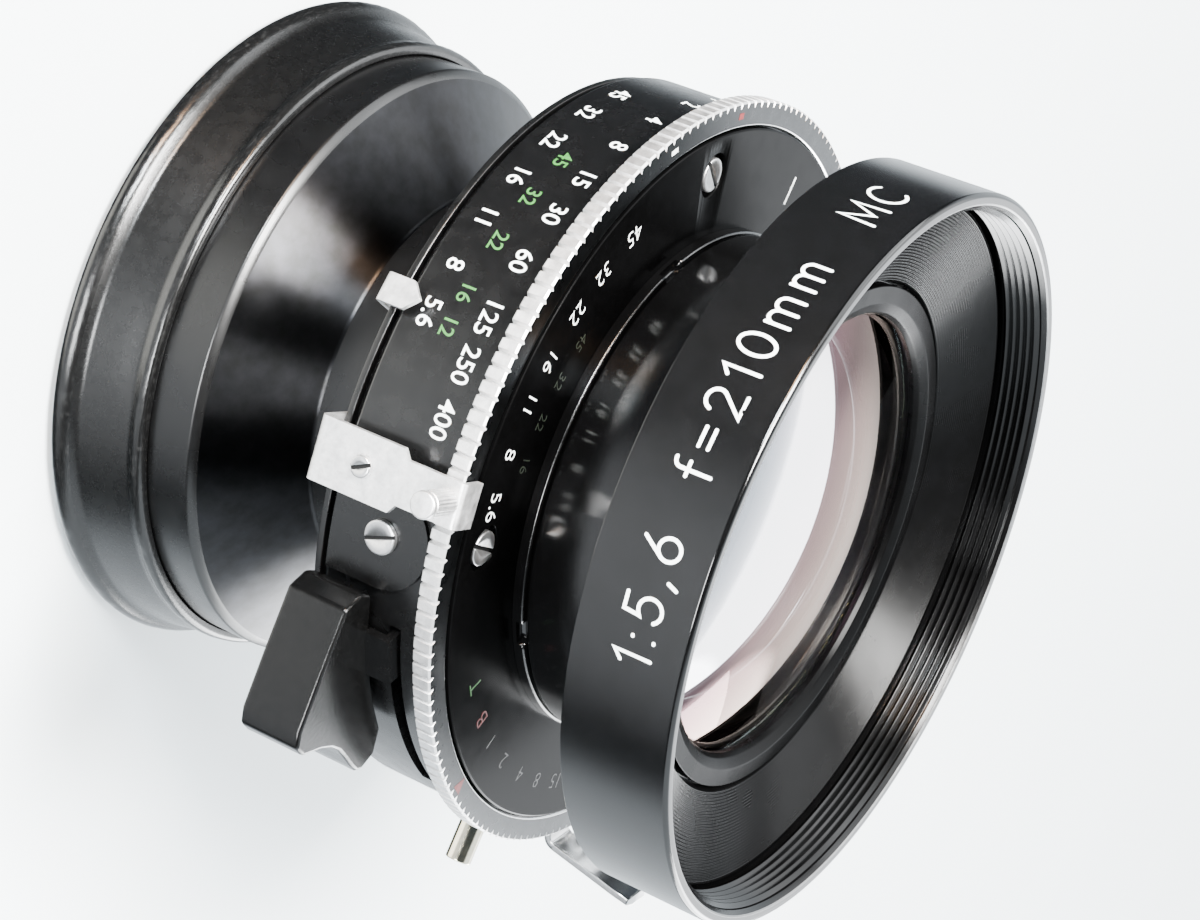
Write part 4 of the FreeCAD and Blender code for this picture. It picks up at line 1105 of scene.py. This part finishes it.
# A patch of the dim room is its direction, the cosines where its soft edge starts and ends, and
# its colour. A lamp is its name, place and size in metres, power and colour.
DARK_ROOM = (0.06, 0.075, 0.09)
PATCHES = [
    ((0.15, -0.90, 0.30), (0.18, 0.46), (2.2, 2.4, 2.55)),
    ((-0.83, 0.38, -0.40), (0.70, 1.0), (1.9, 2.0, 2.1)),
    ((0.72, -0.17, 0.67), (0.90, 0.97), (4.0, 4.1, 4.2)),
    ((0.50, -0.75, 0.43), (0.950, 0.985), (5.5, 5.7, 5.9)),
    ((0.18, -0.93, 0.32), (0.970, 0.982), (17.0, 17.5, 18.0)),
    ((-0.28, 0.42, -0.86), (0.86, 0.95), (5.5, 5.5, 5.2)),
]
LAMPS = [
    ("key", (0.02, 0.46, 0.62), 0.30, 60, (1, 0.99, 0.97)),
    ("fill", (0.45, 0.25, 0.45), 0.45, 4, (0.95, 0.98, 1)),
    ("floor_left", (0.0, -0.85, 0.26), 0.5, 14, (0.97, 0.99, 1)),
    ("skylight", (-0.10, 0.58, 0.13), 0.12, 13, (0.9, 0.96, 1)),
    ("warm", (0.03, 0.60, 0.13), 0.12, 5, (1, 0.62, 0.36)),
    ("side", (-0.55, 0.33, 0.09), 0.22, 8, (0.97, 0.99, 1)),
]


def studio():
    """The surroundings, blended by direction."""
    world = bpy.data.worlds.new("studio")
    world.use_nodes = True
    tree = world.node_tree
    place = new_node(tree, "TexCoord")
    color = None
    for direction, (start, end), tone in PATCHES:
        facing = new_node(tree, "VectorMath", operation="DOT_PRODUCT")
        facing.inputs[1].default_value = Vector(direction).normalized()
        tree.links.new(place.outputs["Generated"], facing.inputs[0])
        edge = new_node(tree, "MapRange", interpolation_type="SMOOTHSTEP")
        set_inputs(edge, From_Min=start, From_Max=end)
        tree.links.new(facing.outputs["Value"], edge.inputs["Value"])
        mix = new_node(tree, "Mix", data_type="RGBA")
        set_inputs(mix, A=(*DARK_ROOM, 1), B=(*tone, 1))
        if color is not None:
            tree.links.new(color, mix.inputs["A"])
        tree.links.new(edge.outputs["Result"], mix.inputs["Factor"])
        color = mix.outputs["Result"]
    tree.links.new(color, tree.nodes["Background"].inputs["Color"])
    bpy.context.scene.world = world


def lamps():
    """Square lamps that look at the middle of the object."""
    for name, place, size, power, color in LAMPS:
        light = bpy.data.lights.new(name, "AREA")
        light.size, light.energy, light.color = size, power, color
        holder = link(bpy.data.objects.new(name, light))
        direction = Vector((0, 0, 0.01)) - Vector(place)
        holder.rotation_euler = direction.to_track_quat("-Z", "Y").to_euler()
        holder.location = place


def stage():
    """A plain pale floor, which glossy reflections don't show."""
    finish = Finish("floor_pale", (0.82, 0.88, 0.9), 0.55)
    finish.tint(finish.noise(0.02, 5), (0.81, 0.87, 0.89), (0.83, 0.89, 0.91))
    PAINTS["floor"] = finish.bump(finish.noise(2.0, 3), 0.01).material
    low, reach = Extent("rear_cap").rear, 1500
    corners = [(x * reach, y * reach, low) for x, y in ((-1, -1), (1, -1), (1, 1), (-1, 1))]
    floor = piece_from("floor", corners, [(0, 1, 2, 3)], ["floor"])
    floor.visible_glossy = False


filter_ring()
baffle()
front_barrel()
front_glass()
rear_cell()
rear_cap()
case()
lensboard_ring()
knurled_ring()
front_plate()
front_screws()
locking_ring()
aperture_ring()
aperture_bracket()
aperture_pointer()
thumb_post()
small_screw("bracket_screw_head", "bracket_screw", 1.0, 37.32, 37.77, 25)
side_cover()
small_screw("side_cover_screw_head", "side_cover_screw", 1.55, 35.42, 35.95, 20)
cocking_grip()
release_lever()
preview_tab()
sockets()
scales()
marks()
keep("glass", "rear_element_inner", "rear_element_second", "rear_element_outer")
keep("inner_black", "front_spacer", "front_inner_ring", "rear_inner_ring", "rear_retainer",
     "mechanism_plate", "iris_plate", "blade_plate", "sync_insulator")
keep("cover", "cocking_ring")
keep("blade", "iris_ring", "blade_ring", "speed_cam", "plate_spacers",
     *[node for node in frame["nodes"] if "_blade_" in node])
keep("brass", "sync_pin")
keep("steel", "cable_plunger")
camera()
stage()
studio()
lamps()
